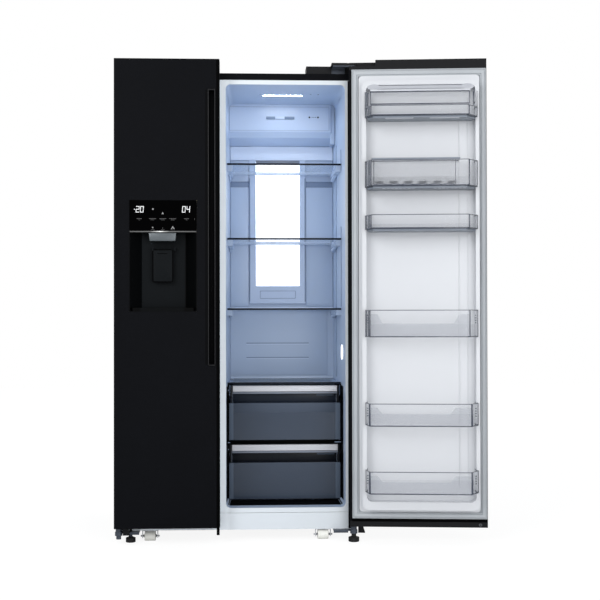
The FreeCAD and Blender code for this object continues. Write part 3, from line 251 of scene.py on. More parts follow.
def lathe(mesh, profile, centre, axis="Z", steps=40, wave=None):
    """Turn a (radius, height) profile round an axis; wave varies the radius per step."""
    part = bmesh.new()
    rings = []
    for radius, height in profile:
        ring = []
        for i in range(steps):
            a = 2 * math.pi * i / steps
            r = radius * (1 + (wave(i) if wave and radius > 0 else 0))
            ring.append(part.verts.new((r * math.cos(a), r * math.sin(a), height)))
        rings.append(ring)
    for low, high in zip(rings, rings[1:]):
        for i in range(steps):
            k = (i + 1) % steps
            part.faces.new((low[i], low[k], high[k], high[i]))
    part.faces.new(list(reversed(rings[0])))
    part.faces.new(rings[-1])
    turn = {"Z": Matrix.Identity(4), "Y": Matrix.Rotation(math.radians(-90), 4, "X"),
            "X": Matrix.Rotation(math.radians(90), 4, "Y")}[axis]
    bmesh.ops.transform(part, matrix=Matrix.Translation(centre) @ turn, verts=part.verts)
    join(mesh, part)


print("builders ready")

# %% [markdown]
# ## Studio
#
# A white void with soft light suits a black appliance: the outline reads clearly and no
# hard shadow hides the open inside. The world lights softly from all round. What the
# camera, glossy reflections and clear plastic see of it is plain white, which Light Path
# chooses, so matt surfaces get only the soft light. The floor is pale and keeps a faint
# shadow of the object.

# %% Helpers for shader nodes
def feed(tree, node, inputs):
    """Fill a node's inputs; each value is fixed, or the socket that it comes from."""
    for key, value in inputs.items():
        if isinstance(value, bpy.types.NodeSocket):
            tree.links.new(value, node.inputs[key])
        else:
            node.inputs[key].default_value = value


def build(tree, kind, inputs=None, **settings):
    """Add a shader node with its settings and inputs."""
    node = tree.nodes.new("ShaderNode" + kind)
    for key, value in settings.items():
        setattr(node, key, value)
    feed(tree, node, inputs or {})
    return node


print("node helpers ready")

# %% World, floor and lamps
scene = bpy.context.scene
scene.view_settings.view_transform = "Standard"

WORLD_LIGHT = 0.68
world = bpy.data.worlds.new("studio_world")
world.use_nodes = True
scene.world = world
tree = world.node_tree
tree.nodes.clear()
path = build(tree, "LightPath")
seen = build(tree, "Math", {0: path.outputs["Is Camera Ray"], 1: path.outputs["Is Glossy Ray"]},
             operation="MAXIMUM")
seen_too = build(tree, "Math", {0: seen.outputs[0], 1: path.outputs["Is Transmission Ray"]},
                 operation="MAXIMUM")
soft_light = build(tree, "Background", {"Color": (0.96, 0.98, 1.0, 1), "Strength": WORLD_LIGHT})
white = build(tree, "Background", {"Color": (1, 1, 1, 1)})
mix = build(tree, "MixShader", {0: seen_too.outputs[0], 1: soft_light.outputs[0],
                                2: white.outputs[0]})
build(tree, "OutputWorld", {"Surface": mix.outputs[0]})


def studio_floor():
    """A pale floor that goes over into the white background."""
    data = bpy.data.meshes.new("floor")
    reach = 9.0
    data.from_pydata([(-reach, -reach, 0), (reach, -reach, 0), (reach, reach, 0),
                      (-reach, reach, 0)], [], [(0, 1, 2, 3)])
    floor = bpy.data.objects.new("floor", data)
    scene.collection.objects.link(floor)
    floor.location.z = -0.0005
    mat = bpy.data.materials.new("pale_floor")
    mat.use_nodes = True
    nt = mat.node_tree
    nt.nodes.clear()
    rays = build(nt, "LightPath")
    share = build(nt, "Math", {0: rays.outputs["Is Camera Ray"], 1: 0.80}, operation="MULTIPLY")
    matt = build(nt, "BsdfDiffuse", {"Color": (0.80, 0.80, 0.80, 1)})
    shine = build(nt, "Emission", {"Strength": 1.12})
    blend = build(nt, "MixShader", {0: share.outputs[0], 1: matt.outputs[0],
                                    2: shine.outputs[0]})
    build(nt, "OutputMaterial", {"Surface": blend.outputs[0]})
    data.materials.append(mat)


def lamp(name, location, target, size, power, colour=(1, 1, 1)):
    """A large soft lamp aimed at a point."""
    light = bpy.data.lights.new(name, "AREA")
    light.shape = "RECTANGLE"
    light.size, light.size_y = size
    light.energy = power
    light.color = colour
    item = bpy.data.objects.new(name, light)
    item.location = location
    aim = Vector(target) - Vector(location)
    item.rotation_euler = aim.to_track_quat("-Z", "Y").to_euler()
    scene.collection.objects.link(item)


studio_floor()
lamp("key_lamp", (-2.2, -3.6, 2.7), (0.1, 0, 0.9), (2.2, 2.2), 84)
lamp("fill_lamp", (1.7, -4.2, 1.3), (0.0, 0, 0.9), (2.0, 2.4), 62)
print("studio ready")

# %% [markdown]
# ## Camera
#
# The view is nearly straight on from a little over four metres, with a long lens, so the
# upright edges stay upright. The camera stands a little lower than half the height and is
# turned a few degrees to the right, towards the open door.

# %% Camera
STAND = (34.41, -4400.0, 847.23)
YAW, PITCH, ROLL = 0.045944, 0.010704, -0.001785
camera = bpy.data.objects.new("camera", bpy.data.cameras.new("camera"))
camera.data.sensor_width = 36.0
camera.data.lens = 70.69
upright_view = Matrix.Rotation(math.radians(90) + PITCH, 4, "X")
turned = Matrix.Rotation(-YAW, 4, "Z") @ upright_view @ Matrix.Rotation(ROLL, 4, "Z")
camera.matrix_world = Matrix.Translation(Vector(STAND) * MM) @ turned
camera.data.clip_end = 100
scene.collection.objects.link(camera)
scene.camera = camera
print("lens", camera.data.lens)

# %% [markdown]
# ## Finishes
#
# Every finish starts from the same recipe: a base colour that wanders a little with a
# broad noise, a fine noise that roughens the surface through a bump, and a roughness that
# follows the same fine noise, because no moulding or paint is perfectly even. The texture
# uses object coordinates, which are metres on every piece here, so a grain has the same
# size on every piece. Values that don't vary are set on the shader itself.

# %% The common finish recipe
ROUGH_SPREAD = 0.08


def finish(name, colour, rough, grain=900, bump=0.05, shade=0.05, specular=0.5, metal=0.0,
           alpha=1.0, stretch=(1, 1, 1), broad=6.0):
    """A principled finish with wandering colour, roughness and a fine grain."""
    mat = bpy.data.materials.new(name)
    mat.use_nodes = True
    nt = mat.node_tree
    where = build(nt, "TexCoord")
    scale = build(nt, "Mapping", {"Vector": where.outputs["Object"], "Scale": stretch})

    cloud = build(nt, "TexNoise", {"Vector": scale.outputs[0], "Scale": broad, "Detail": 4})
    darker = (*[c * (1 - shade) for c in colour], 1)
    lighter = (*[min(c * (1 + shade), 1) for c in colour], 1)
    tint = build(nt, "Mix", {0: cloud.outputs["Fac"], 6: darker, 7: lighter}, data_type="RGBA")

    fine = build(nt, "TexNoise", {"Vector": scale.outputs[0], "Scale": grain, "Detail": 3})
    relief = build(nt, "Bump", {"Height": fine.outputs["Fac"], "Strength": bump,
                                "Distance": 0.0006})
    sheen = build(nt, "MapRange", {"Value": fine.outputs["Fac"],
                                   "To Min": max(rough - ROUGH_SPREAD, 0.02),
                                   "To Max": min(rough + ROUGH_SPREAD, 1)})
    feed(nt, nt.nodes["Principled BSDF"], {
        "Base Color": tint.outputs[2], "Normal": relief.outputs[0],
        "Roughness": sheen.outputs[0], "Metallic": metal, "Specular IOR Level": specular,
        "Alpha": alpha})
    return mat


def node_of(mat, kind):
    """First node of a kind in a finish."""
    return next(n for n in mat.node_tree.nodes if n.bl_idname == kind)


def speckle(mat, colour, low, high, scale=1400):
    """Add bright grains to a finish: a metallic flake or textured paint."""
    nt = mat.node_tree
    shader = nt.nodes["Principled BSDF"]
    base = shader.inputs["Base Color"].links[0].from_socket
    where = node_of(mat, "ShaderNodeMapping").outputs[0]
    flake = build(nt, "TexNoise", {"Vector": where, "Scale": scale, "Detail": 2,
                                   "Roughness": 0.7})
    gate = build(nt, "MapRange", {"Value": flake.outputs["Fac"], "From Min": low,
                                  "From Max": high})
    add = build(nt, "Mix", {0: gate.outputs[0], 6: base, 7: (*colour, 1)}, data_type="RGBA")
    feed(nt, shader, {"Base Color": add.outputs[2]})
    return mat


def glow(mat, colour, strength):
    """Let a finish shine by itself."""
    nt = mat.node_tree
    feed(nt, nt.nodes["Principled BSDF"], {"Emission Color": (*colour, 1),
                                           "Emission Strength": strength})
    return mat


# %% [markdown]
# ### Paint and metal
#
# The doors and sides are black coated sheet with a fine pebbled texture: almost no
# reflection, but tiny light grains that keep the large faces from looking empty. The
# front flange is smooth white enamel. Hinges and axles are dark or zinc plated steel.

# %% Paint and metal finishes
black_paint = speckle(finish("textured_black_paint", (0.0017, 0.0020, 0.0030), 0.55,
                             grain=620, bump=0.35, shade=0.25, specular=0.045),
                      (0.0072, 0.0078, 0.0103), 0.50, 0.74)
white_enamel = finish("white_enamel", (0.87, 0.93, 1.0), 0.34, grain=300, bump=0.03,
                      shade=0.02, specular=0.4)
hinge_steel = finish("painted_hinge_steel", (0.045, 0.055, 0.075), 0.38, grain=700,
                     bump=0.12, shade=0.2, metal=0.3)
zinc_sheet = speckle(finish("galvanised_sheet", (0.42, 0.43, 0.45), 0.45, grain=160,
                            bump=0.05, shade=0.12, metal=0.7, broad=40),
                     (0.60, 0.61, 0.63), 0.45, 0.62, scale=90)
bright_steel = finish("bright_steel", (0.62, 0.64, 0.66), 0.28, grain=900,
                      metal=1.0)
compressor_paint = finish("compressor_paint", (0.012, 0.012, 0.013), 0.25, grain=240,
                          bump=0.08, shade=0.2)
coil_coating = finish("coil_coating", (0.03, 0.03, 0.032), 0.45, grain=400, bump=0.1,
                      shade=0.3)
coil_aluminium = finish("coil_aluminium", (0.72, 0.73, 0.75), 0.35, grain=500, bump=0.06,
                        metal=1.0, stretch=(1, 1, 8))
print("paint and metal ready")

# %% [markdown]
# ### Plastics, seals and lamps
#
# The inside is vacuum formed white plastic; the cool tint that its lamps give it is painted
# into its colour. The door lining is the same plastic seen in daylight, so it is whiter. The
# seal is soft grey vinyl. The lamps are milky covers that glow.

# %% Plastic, seal and lamp finishes
# Painted light: the cool blue of the room's lining and mouldings is their lamps' tint, painted into a white
# plastic's colour.
cool_lining = finish("cool_white_lining", (0.46, 0.56, 0.72), 0.36, grain=260, bump=0.03,
                     shade=0.03, specular=0.4)
cool_moulding = finish("cool_white_moulding", (0.50, 0.60, 0.77), 0.22, grain=320,
                       bump=0.03, shade=0.03, specular=0.45)
door_lining = finish("white_door_lining", (0.62, 0.635, 0.665), 0.32, grain=300, bump=0.03,
                     shade=0.02, specular=0.4)
freezer_lining = finish("freezer_lining", (0.66, 0.72, 0.78), 0.36, grain=260, bump=0.03,
                        shade=0.03, specular=0.4)
black_plastic = finish("black_moulding", (0.0062, 0.0066, 0.0078), 0.42, grain=800,
                       bump=0.12, shade=0.2, specular=0.12)
grip_plastic = finish("grip_moulding", (0.0022, 0.0024, 0.0030), 0.5, grain=800, bump=0.06,
                      shade=0.15, specular=0.03)
seal_vinyl = finish("grey_seal_vinyl", (0.415, 0.44, 0.465), 0.55, grain=350, bump=0.06,
                    shade=0.06, specular=0.3)
foot_rubber = finish("foot_rubber", (0.008, 0.008, 0.0085), 0.6, grain=600, bump=0.2,
                     shade=0.2, specular=0.25)
roller_nylon = finish("roller_nylon", (0.84, 0.84, 0.79), 0.42, grain=300, bump=0.08,
                      shade=0.08)
foam_body = finish("insulation_foam", (0.72, 0.63, 0.40), 0.9, grain=500, bump=0.5,
                   shade=0.15, specular=0.2)
fan_plastic = finish("fan_moulding", (0.05, 0.052, 0.055), 0.4, grain=500, bump=0.1)
silver_paint = finish("silver_paint", (0.50, 0.51, 0.55), 0.30, grain=1200, bump=0.04,
                      shade=0.06, metal=0.35, stretch=(1, 1, 6))
spout_paint = finish("spout_paint", (0.088, 0.102, 0.112), 0.34, grain=1100, bump=0.04,
                     shade=0.08, metal=0.3)
lamp_cover = glow(finish("lamp_cover", (0.9, 0.93, 1.0), 0.5, grain=40, bump=0.02,
                         shade=0.02), (0.93, 0.97, 1.0), 1.0)
lamp_strip = glow(finish("lamp_strip", (0.9, 0.93, 1.0), 0.5, grain=40, bump=0.02),
                  (0.90, 0.95, 1.0), 175.0)
side_lamp = glow(finish("side_lamp", (0.9, 0.93, 1.0), 0.5, grain=40, bump=0.02),
                 (0.93, 0.97, 1.0), 2.2)
print("plastics ready")

# %% [markdown]
# ### Clear and smoky plastic
#
# Real refraction in thin walls costs many samples and leaves noise. A thin wall looks
# nearly the same as a see-through film with a gloss on it, so these finishes use alpha:
# a little grey for clear polystyrene, a dark blue grey for the drawers. Edges are thicker
# to the eye than walls, so the rims and posts get a darker mix of the same plastic.

# %% Clear finishes
clear_wall = finish("clear_wall", (0.46, 0.48, 0.53), 0.12, grain=60, bump=0.02,
                    shade=0.04, specular=0.4, alpha=0.10)
clear_edge = finish("clear_edge", (0.045, 0.055, 0.085), 0.15, grain=80, bump=0.02,
                    shade=0.1, alpha=0.85)
clear_rim = finish("clear_rim", (0.12, 0.135, 0.165), 0.15, grain=80, bump=0.02,
                   shade=0.1, alpha=0.75)
clear_film = finish("clear_film", (0.5, 0.52, 0.57), 0.12, grain=60, bump=0.02,
                    shade=0.04, specular=0.3, alpha=0.05)
frosted = finish("frosted_wall", (0.30, 0.32, 0.37), 0.6, grain=700, bump=0.1, shade=0.03,
                 specular=0.3, alpha=0.30)
base_tint = finish("bin_base", (0.22, 0.25, 0.30), 0.35, grain=300,
                   shade=0.08, specular=0.4, alpha=0.85)
smoky_wall = finish("smoky_wall", (0.051, 0.069, 0.103), 0.14, grain=60, bump=0.02,
                    shade=0.05, specular=0.35, alpha=0.86)
smoky_dark = finish("smoky_dark", (0.0030, 0.0046, 0.0084), 0.3, grain=200, bump=0.02,
                    shade=0.1, specular=0.15)
shelf_glass = finish("shelf_glass", (0.50, 0.62, 0.76), 0.06, grain=20, bump=0.01,
                     shade=0.02, alpha=0.22)
panel_glass = finish("panel_glass", (0.0005, 0.0005, 0.0006), 0.06, grain=20, bump=0.005,
                     shade=0.1, specular=0.012)
recess_painted_shade = finish("recess_moulding_painted_shade", (0.0052, 0.0064, 0.0076), 0.45, grain=900,
                        bump=0.08, shade=0.15, specular=0.04)
print("clear finishes ready")

# %% [markdown]
# ### Shades of the same plastic
#
# A moulding's gaps, ribs and edges are the same plastic in less or more light. At this
# size they are drawn as thin pieces in a darker or brighter shade of the wall they sit on.

# %% Shades for gaps, ribs and edges
cool_shadow = finish("cool_shadow", (0.20, 0.27, 0.40), 0.5, grain=260)
cool_line = finish("cool_line", (0.27, 0.35, 0.49), 0.45, grain=260)
cool_bright = finish("cool_bright", (0.56, 0.66, 0.82), 0.35, grain=260, shade=0.03)
hollow_shade = finish("hollow_shade", (0.006, 0.008, 0.012), 0.5, grain=300, shade=0.1,
                   specular=0.1)
lip_grey = finish("lip_grey", (0.165, 0.19, 0.24), 0.4, grain=500, shade=0.1)
trim_dark = finish("dark_trim", (0.0045, 0.007, 0.013), 0.35, grain=500, shade=0.1,
                   specular=0.12)
smoky_painted_light = finish("smoky_painted_light", (0.098, 0.128, 0.178), 0.4, grain=120, shade=0.08,
                    specular=0.08)
pale_window = finish("pale_window", (0.52, 0.54, 0.59), 0.3, grain=200, shade=0.04)
lining_shade = finish("lining_shade", (0.42, 0.435, 0.475), 0.4, grain=300, shade=0.04)
bead_highlight = finish("bead_highlight", (0.009, 0.0094, 0.0108), 0.35, grain=600, shade=0.15,
                   specular=0.25)
pure_black = finish("pure_black", (0.0008, 0.0008, 0.001), 0.6, grain=600, shade=0.2,
                    specular=0.02)
display_white = glow(finish("display_white", (0.5, 0.5, 0.5), 0.5, grain=300, bump=0.01),
                     (0.95, 0.98, 1.0), 0.54)
display_grey = glow(finish("display_grey", (0.2, 0.2, 0.2), 0.5, grain=300, bump=0.01),
                    (0.9, 0.95, 1.0), 0.08)
display_dim = glow(finish("display_dim", (0.03, 0.03, 0.03), 0.5, grain=300, bump=0.01),
                   (0.9, 0.95, 1.0), 0.011)


def grade_along(mat, axis, stops):
    """Multiply a colour along one axis; stops are (millimetres, factor) pairs."""
    nt = mat.node_tree
    shader = nt.nodes["Principled BSDF"]
    where = node_of(mat, "ShaderNodeTexCoord")
    split = build(nt, "SeparateXYZ", {0: where.outputs["Object"]})
    low, high = stops[0][0] * MM, stops[-1][0] * MM
    share = build(nt, "MapRange", {"Value": split.outputs["XYZ".index(axis)], "From Min": low,
                                   "From Max": high})
    ramp = build(nt, "ValToRGB", {0: share.outputs[0]})
    elements = ramp.color_ramp.elements
    while len(elements) > 1:
        elements.remove(elements[-1])
    for i, (at, value) in enumerate(stops):
        position = (at * MM - low) / (high - low)
        element = elements[0] if i == 0 else elements.new(position)
        element.position = position
        element.color = (value, value, value, 1)
    base = shader.inputs["Base Color"].links[0].from_socket
    times = build(nt, "Mix", {0: 1.0, 6: base, 7: ramp.outputs["Color"]}, data_type="RGBA",
                  blend_type="MULTIPLY")
    feed(nt, shader, {"Base Color": times.outputs[2]})
    return mat


# Painted highlight: the strip's colour is brightest in a narrow band round X = -277 mm and dim towards both
# ends.
strip_painted_highlight = grade_along(finish("polished_strip_painted_highlight", (0.9, 0.9, 0.9), 0.3, grain=800,
                                 bump=0.02, shade=0.03), "X",
                          ((-390, 0.08), (-315, 0.10), (-290, 0.5), (-277, 1.0), (-265, 0.45),
                           (-245, 0.11), (-146, 0.08)))
smoky_shade = finish("smoky_shade", (0.009, 0.014, 0.025), 0.3, grain=200, bump=0.02,
                     shade=0.1, specular=0.15)
# Painted light: a pale band that glows a little, though it is no lamp.
painted_light_band = glow(finish("painted_light_band", (0.62, 0.71, 0.86), 0.35, grain=260, shade=0.03),
                 (0.6, 0.72, 0.95), 0.08)
lid_highlight = finish("lid_highlight", (0.62, 0.64, 0.68), 0.3, grain=200, shade=0.04)
cheek_tint = finish("cheek_tint", (0.12, 0.135, 0.165), 0.2, grain=80, bump=0.02,
                    shade=0.1, specular=0.4, alpha=0.62)
screw_grey = finish("screw_grey", (0.06, 0.063, 0.07), 0.35, grain=400, shade=0.1)
smoky_top_painted_light = finish("smoky_top_painted_light", (0.070, 0.088, 0.122), 0.4, grain=120, shade=0.08,
                   specular=0.08)
rim_line = finish("rim_line", (0.56, 0.57, 0.60), 0.4, grain=300, shade=0.04)
# Painted light: the enamel keeps its full colour on the left jamb between the doors, which the doors shade, and
# is darkened to about three quarters further right.
grade_along(white_enamel, "X", ((-70, 1.0), (-36, 1.0), (-24, 0.80), (300, 0.74)))


def cloud(mat, low, high, scale, clear_from, clear_to, boost):
    """Let a glow drift in soft clouds, and grow stronger between two heights."""
    nt = mat.node_tree
    where = node_of(mat, "ShaderNodeTexCoord").outputs["Object"]
    noise = build(nt, "TexNoise", {"Vector": where, "Scale": scale, "Detail": 4.0})
    drift = build(nt, "MapRange", {"Value": noise.outputs["Fac"], "From Min": 0.38,
                                   "From Max": 0.60, "To Min": low, "To Max": high})
    split = build(nt, "SeparateXYZ", {0: where})
    rise = build(nt, "MapRange", {"Value": split.outputs["Z"], "From Min": clear_from * MM,
                                  "From Max": clear_to * MM, "To Min": 1.0, "To Max": boost})
    product = build(nt, "Math", {0: drift.outputs[0], 1: rise.outputs[0]},
                    operation="MULTIPLY")
    feed(nt, nt.nodes["Principled BSDF"], {"Emission Strength": product.outputs[0]})


cloud(lamp_cover, 0.86, 1.10, 26.0, 1100, 1300, 2.2)
# Painted shade in the dispenser recess: its colour is darkened towards the left and right sides and below about
# 867 mm.
grade_along(recess_painted_shade, "X", ((-390, 0.25), (-352, 0.3), (-348, 1.0), (-193, 0.9),
                                  (-189, 0.2), (-146, 0.2)))
grade_along(recess_painted_shade, "Z", ((850, 0.4), (867, 0.45), (870, 1.0), (1260, 1.0)))
print("shades ready")

# %% Give the model's own pieces their finishes
FINISHES = {
    black_paint: ("cabinet_shell", "freezer_door_skin", "fridge_door_skin", "rear_panel"),
    white_enamel: ("front_frame", "lower_front_panel"),
    cool_lining: ("fridge_liner",),
    cool_moulding: ("upper_air_housing", "fridge_duct_panel", "shelf_supports"),
    freezer_lining: ("freezer_liner", "freezer_duct_cover"),
    door_lining: ("freezer_door_liner", "fridge_door_liner"),
    foam_body: ("cabinet_foam", "freezer_door_foam", "fridge_door_foam"),
    zinc_sheet: ("base_chassis", "roller_brackets"),
    black_plastic: ("machine_cover", "hinge_covers", "freezer_door_caps", "fridge_door_caps",
                    "shelf_trims"),
    recess_painted_shade: ("dispenser_housing", "dispenser_paddle"),
    grip_plastic: ("freezer_door_handle", "fridge_door_handle"),
    compressor_paint: ("compressor",),
    coil_coating: ("condenser",),
    coil_aluminium: ("evaporator",),
    fan_plastic: ("condenser_fan", "evaporator_fan", "ice_auger"),
    lamp_cover: ("interior_lights",),
    shelf_glass: ("fridge_shelves", "freezer_shelves"),
    clear_wall: ("freezer_baskets", "ice_bin", "door_bins_lower", "door_bin_narrow",
                 "door_bin_egg", "door_bin_dairy", "dairy_lid", "egg_tray",
                 "freezer_door_bins"),
    smoky_wall: ("upper_crisper", "lower_crisper"),
    silver_paint: ("upper_crisper_bar", "lower_crisper_bar"),
    spout_paint: ("dispenser_spout",),
    seal_vinyl: ("freezer_door_gasket", "fridge_door_gasket"),
    panel_glass: ("dispenser_panel",),
    hinge_steel: ("hinge_brackets",),
    roller_nylon: ("left_front_roller", "right_front_roller", "rear_rollers"),
    foot_rubber: ("left_front_foot", "right_front_foot"),
}
for look, names in FINISHES.items():
    for name in names:
        nodes[name].data.materials.clear()
        nodes[name].data.materials.append(look)
finished = {name for names in FINISHES.values() for name in names}
print("nodes without a finish:", sorted(set(nodes) - finished))

# %% [markdown]
# ## Door seals
#
# A magnetic seal is a soft tube of vinyl: a flat foot clipped into the door, a folded
# bellows, and a pillow that holds the magnet strip. Its folds show as fine lines along
# the whole frame, with a mitre at each corner where the strips are welded. The section
# below is swept round each door and stands in for the plain block in the model. A black
# strip runs under its lower edge, where the door's bottom cap shows.

# %% Model both door seals
SEAL_SECTION = (
    (0.00, 0.0), (0.00, 4.5), (0.05, 7.6), (0.13, 8.4), (0.17, 6.8), (0.21, 8.8), (0.30, 10.9),
    (0.42, 11.55), (0.60, 11.6), (0.70, 11.0), (0.745, 8.2), (0.78, 9.6), (0.86, 10.0),
    (0.92, 8.6), (0.95, 4.0), (1.00, 2.2), (1.00, 0.0),
)
SEAL_CORNER = 23


def seal_inner(door):
    """The seal's inner edge: its limits in X and in Z."""
    head = span(door + "_door_gasket", door)[1][2]
    return (-HALF + 36, -HALF + WIDTH[door] - 27), (116.0, head - 29)


for door in DOORS:
    low, high = span(door + "_door_gasket", door)
    outer = ((low[0] - 4, high[0]), (low[2] + 2.5, high[2]))
    inner = seal_inner(door)
    strip = bars([((low[0] - 4, high[0]), (DOOR_INNER + 0.3, DOOR_INNER + 5),
                   (79.5, low[2] + 2.2))], 1.0)
    place(door + "_seal_strip", strip, pure_black, "black_plastic", door)
    section = [(t, DOOR_INNER + depth) for t, depth in SEAL_SECTION]
    mesh = bmesh.new()
    frame_sweep(mesh, outer, inner, section)
    seal = place(door + "_seal", mesh, seal_vinyl, "gasket_rubber", door, smooth=28)
    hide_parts(door + "_door_gasket")
    print(door, "seal from", outer, "to", inner)

# %% Round the seal's inner corners and mark the lining's step
def rounded_ring(mesh, x, z, radius, thick, low, high):
    """A thin ring with round corners, in an upright plane."""
    half = thick / 2
    outer = round_corners((x[0] - half, x[1] + half), (z[0] - half, z[1] + half), radius + half)
    inner = round_corners((x[0] + half, x[1] - half), (z[0] + half, z[1] - half), radius - half)
    for i in range(len(outer)):
        k = (i + 1) % len(outer)
        add_plate(mesh, [outer[i], outer[k], inner[k], inner[i]], low, high, upright)
    bmesh.ops.remove_doubles(mesh, verts=mesh.verts, dist=0.001)


def add_corner(mesh, x, z, turn_x, turn_z, radius, low, high):
    """Fill a square inner corner so that it reads as a round one."""
    centre = (x + turn_x * radius, z + turn_z * radius)
    points = [(x - turn_x, z - turn_z)]
    for i in range(9):
        a = math.radians(90 * i / 8)
        points.append((centre[0] - turn_x * radius * math.cos(a),
                       centre[1] - turn_z * radius * math.sin(a)))
    add_plate(mesh, points, low, high, upright)


for door in DOORS:
    x, z = seal_inner(door)
    corners, line = bmesh.new(), bmesh.new()
    for at_x, turn_x in ((x[0], 1), (x[1], -1)):
        for at_z, turn_z in ((z[0], 1), (z[1], -1)):
            add_corner(corners, at_x, at_z, turn_x, turn_z, SEAL_CORNER, DOOR_INNER + 0.4,
                       DOOR_INNER + 3.4)
    place(door + "_seal_corners", corners, seal_vinyl, "gasket_rubber", door)
    # Painted shade: the ring is a slightly darker line along the lining's step.
    rounded_ring(line, (x[0] + 9, x[1] - 9), (z[0] + 13, z[1] - 11), 22, 2.0,
                 DOOR_INNER + 1.8, DOOR_INNER + 3.0)
    place(door + "_lining_line", line, rim_line, "white_plastic", door)

# %% [markdown]
# ## Inside the fridge room
#
# Behind the shelves the back wall is formed in plates with a shadow gap between them, so
# cold air can run across. The duct panel carries a lamp cover with a dark strip of painted
# shade above it and a bare label field below. Each of these is a thin plate with softened
# edges, because a moulded wall never turns a sharp corner. The gaps are dark strips of
# painted shade set back between the plates, and each of two grooves lower down is a dark
# strip of painted shade with a painted highlight strip below it.

# %% Back wall plates, duct trim and label field
ROOM_BACK = span("fridge_liner")[1][1] - 2.5
duct_low, duct_high = span("fridge_duct_panel")
WALLS = (-28.5, 395.0)
plates, gaps = [], []
for x in ((WALLS[0], duct_low[0] - 2), (duct_high[0] + 2, WALLS[1])):
    plates.append((x, (ROOM_BACK - 5, ROOM_BACK), (1391, 1528)))
    plates.append((x, (ROOM_BACK - 5, ROOM_BACK), (872, 1367)))
    gaps.append((x, (ROOM_BACK - 1.2, ROOM_BACK), (1366, 1392)))
plates.append(((WALLS[0], 372), (ROOM_BACK - 3, ROOM_BACK), (590, 862)))
place("back_wall_plates", bars(plates, 1.5), cool_lining, "fridge_lining")
# Two grooves lower down: each is a dark strip of painted shade with a strip of painted highlight just below it.
GROOVE_X = (36.5, 295)
for z in (719.5, 660):
    gaps.append((GROOVE_X, (ROOM_BACK - 3.5, ROOM_BACK - 2.6), (z, z + 3.5)))
for x in ((duct_low[0] + 0.5, duct_low[0] + 4), (duct_high[0] - 4, duct_high[0] - 0.5)):
    gaps.append((x, (duct_low[1] - 0.8, duct_low[1] - 0.1), (duct_low[2] + 8, 1404)))
place("back_wall_gaps", bars(gaps, 0.3), cool_shadow, "fridge_lining")
glints = [(GROOVE_X, (ROOM_BACK - 3.6, ROOM_BACK - 2.6), (z, z + 3.5)) for z in (714.5, 655)]
place("back_wall_groove_highlights", bars(glints, 0.8), cool_bright, "fridge_lining")

LABEL = ((94, 240), (906.5, 937))
front = duct_low[1]
lines = [(LABEL[0], (front - 0.7, front), (z - 1, z + 1)) for z in LABEL[1]]
lines += [((x - 1, x + 1), (front - 0.7, front), LABEL[1]) for x in LABEL[0]]
place("label_field", bars(lines, 0.3), cool_shadow, "white_plastic")
# Painted shade: a dark grey strip above the lamp cover, under its frame's top edge.
lip = [((77, 258), (front - 3, front), (1462, 1477))]
place("lamp_top_shade", bars(lip, 1.2), lip_grey, "white_plastic")
# The top plate's pale colour and faint glow are painted light.
top_plate = [(WALLS, (475.4, 477.8), (1479, 1534))]
place("top_plate", bars(top_plate, 0.8), painted_light_band, "white_plastic")
print("back plates", len(plates), "gaps", len(gaps))

# %% [markdown]
# Three lamps light the room. The tall one is a diffuser over a row of diodes, so its glow
# has soft clouds in it. The one in the ceiling is nearly flush, a bright line seen from
# the front. The small oval one lights the drawers from the right wall.

# %% Lamps
tall_low, tall_high = max(islands("interior_lights"), key=lambda box: box[1][2] - box[0][2])
tall = bars([tuple(zip(tall_low, tall_high))], 1.5)
tall_lamp = place("tall_lamp", tall, lamp_cover, "lamp")
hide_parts("interior_lights")
strip = bars([((103, 255), (202, 207), (1696.6, 1697.6))], 0.3)
place("ceiling_lamp", strip, lamp_strip, "lamp")
oval = bmesh.new()
outline = round_corners((103, 147), (667, 723), 21)
add_plate(oval, outline, 401.6, 405.2, sideways, 1.2)
place("side_lamp", oval, side_lamp, "lamp")

# %% [markdown]
# The air housing under the ceiling has a raised border, an outlet slot with a flap block
# in its middle, and a row of small holes for the temperature sensor. Three more holes sit
# in the ceiling beside the lamp. The border and the slot are darkened with painted shade,
# the flap block is brightened with painted light, and the holes are small domes painted
# dark for their shade.

# %% Air housing border, outlet and sensor holes
house_low, house_high = span("upper_air_housing")
face = house_low[1]
edge_x = (-31.0, house_high[0] - 7)
edge_z = (1588.0, 1684.0)
# The border's darker colour is painted shade along its raised edge.
border = [(edge_x, (face - 0.9, face), (z - 1, z + 1)) for z in edge_z]
border += [((x - 1, x + 1), (face - 0.9, face), edge_z) for x in edge_x]
place("housing_border", bars(border, 0.35), cool_line, "white_plastic")
filler = [(x, (390, 488), (1534, 1692)) for x in ((380.5, 397.5), (-36, -31.6))]
place("housing_filler", bars(filler, 2.0), cool_lining, "white_plastic")
# Painted shade darkens the outlet slot; the flap block is painted brighter, painted light.
outlet = [(x, (face - 0.6, face + 4), (1634, 1645)) for x in ((118, 154), (193, 233))]
place("housing_outlet", bars(outlet, 0.5), cool_shadow, "white_plastic")
flap = [((155, 192), (face - 2.2, face + 2), (1633.5, 1643.5))]
place("housing_flap", bars(flap, 1.0), cool_bright, "white_plastic")
HOUSING_HOLES = ((294, 3.6), (329, 3.6), (305, 1.6), (312, 1.6), (319, 1.6))
CEILING_HOLES = ((91, 2.5), (288, 2.5), (317, 3.0))
# The holes are small dark domes; their dark colour is painted shade.
holes = bmesh.new()
for row, y, z, axis in ((HOUSING_HOLES, face - 0.9, 1642, "Y"), (CEILING_HOLES, 176, 1696.2, "Z")):
    for x, radius in row:
        lathe(holes, ((radius, 0), (radius, 0.7), (0.5, 0.9)), (x, y, z), axis, 20)
place("sensor_holes", holes, hollow_shade, "black_plastic")

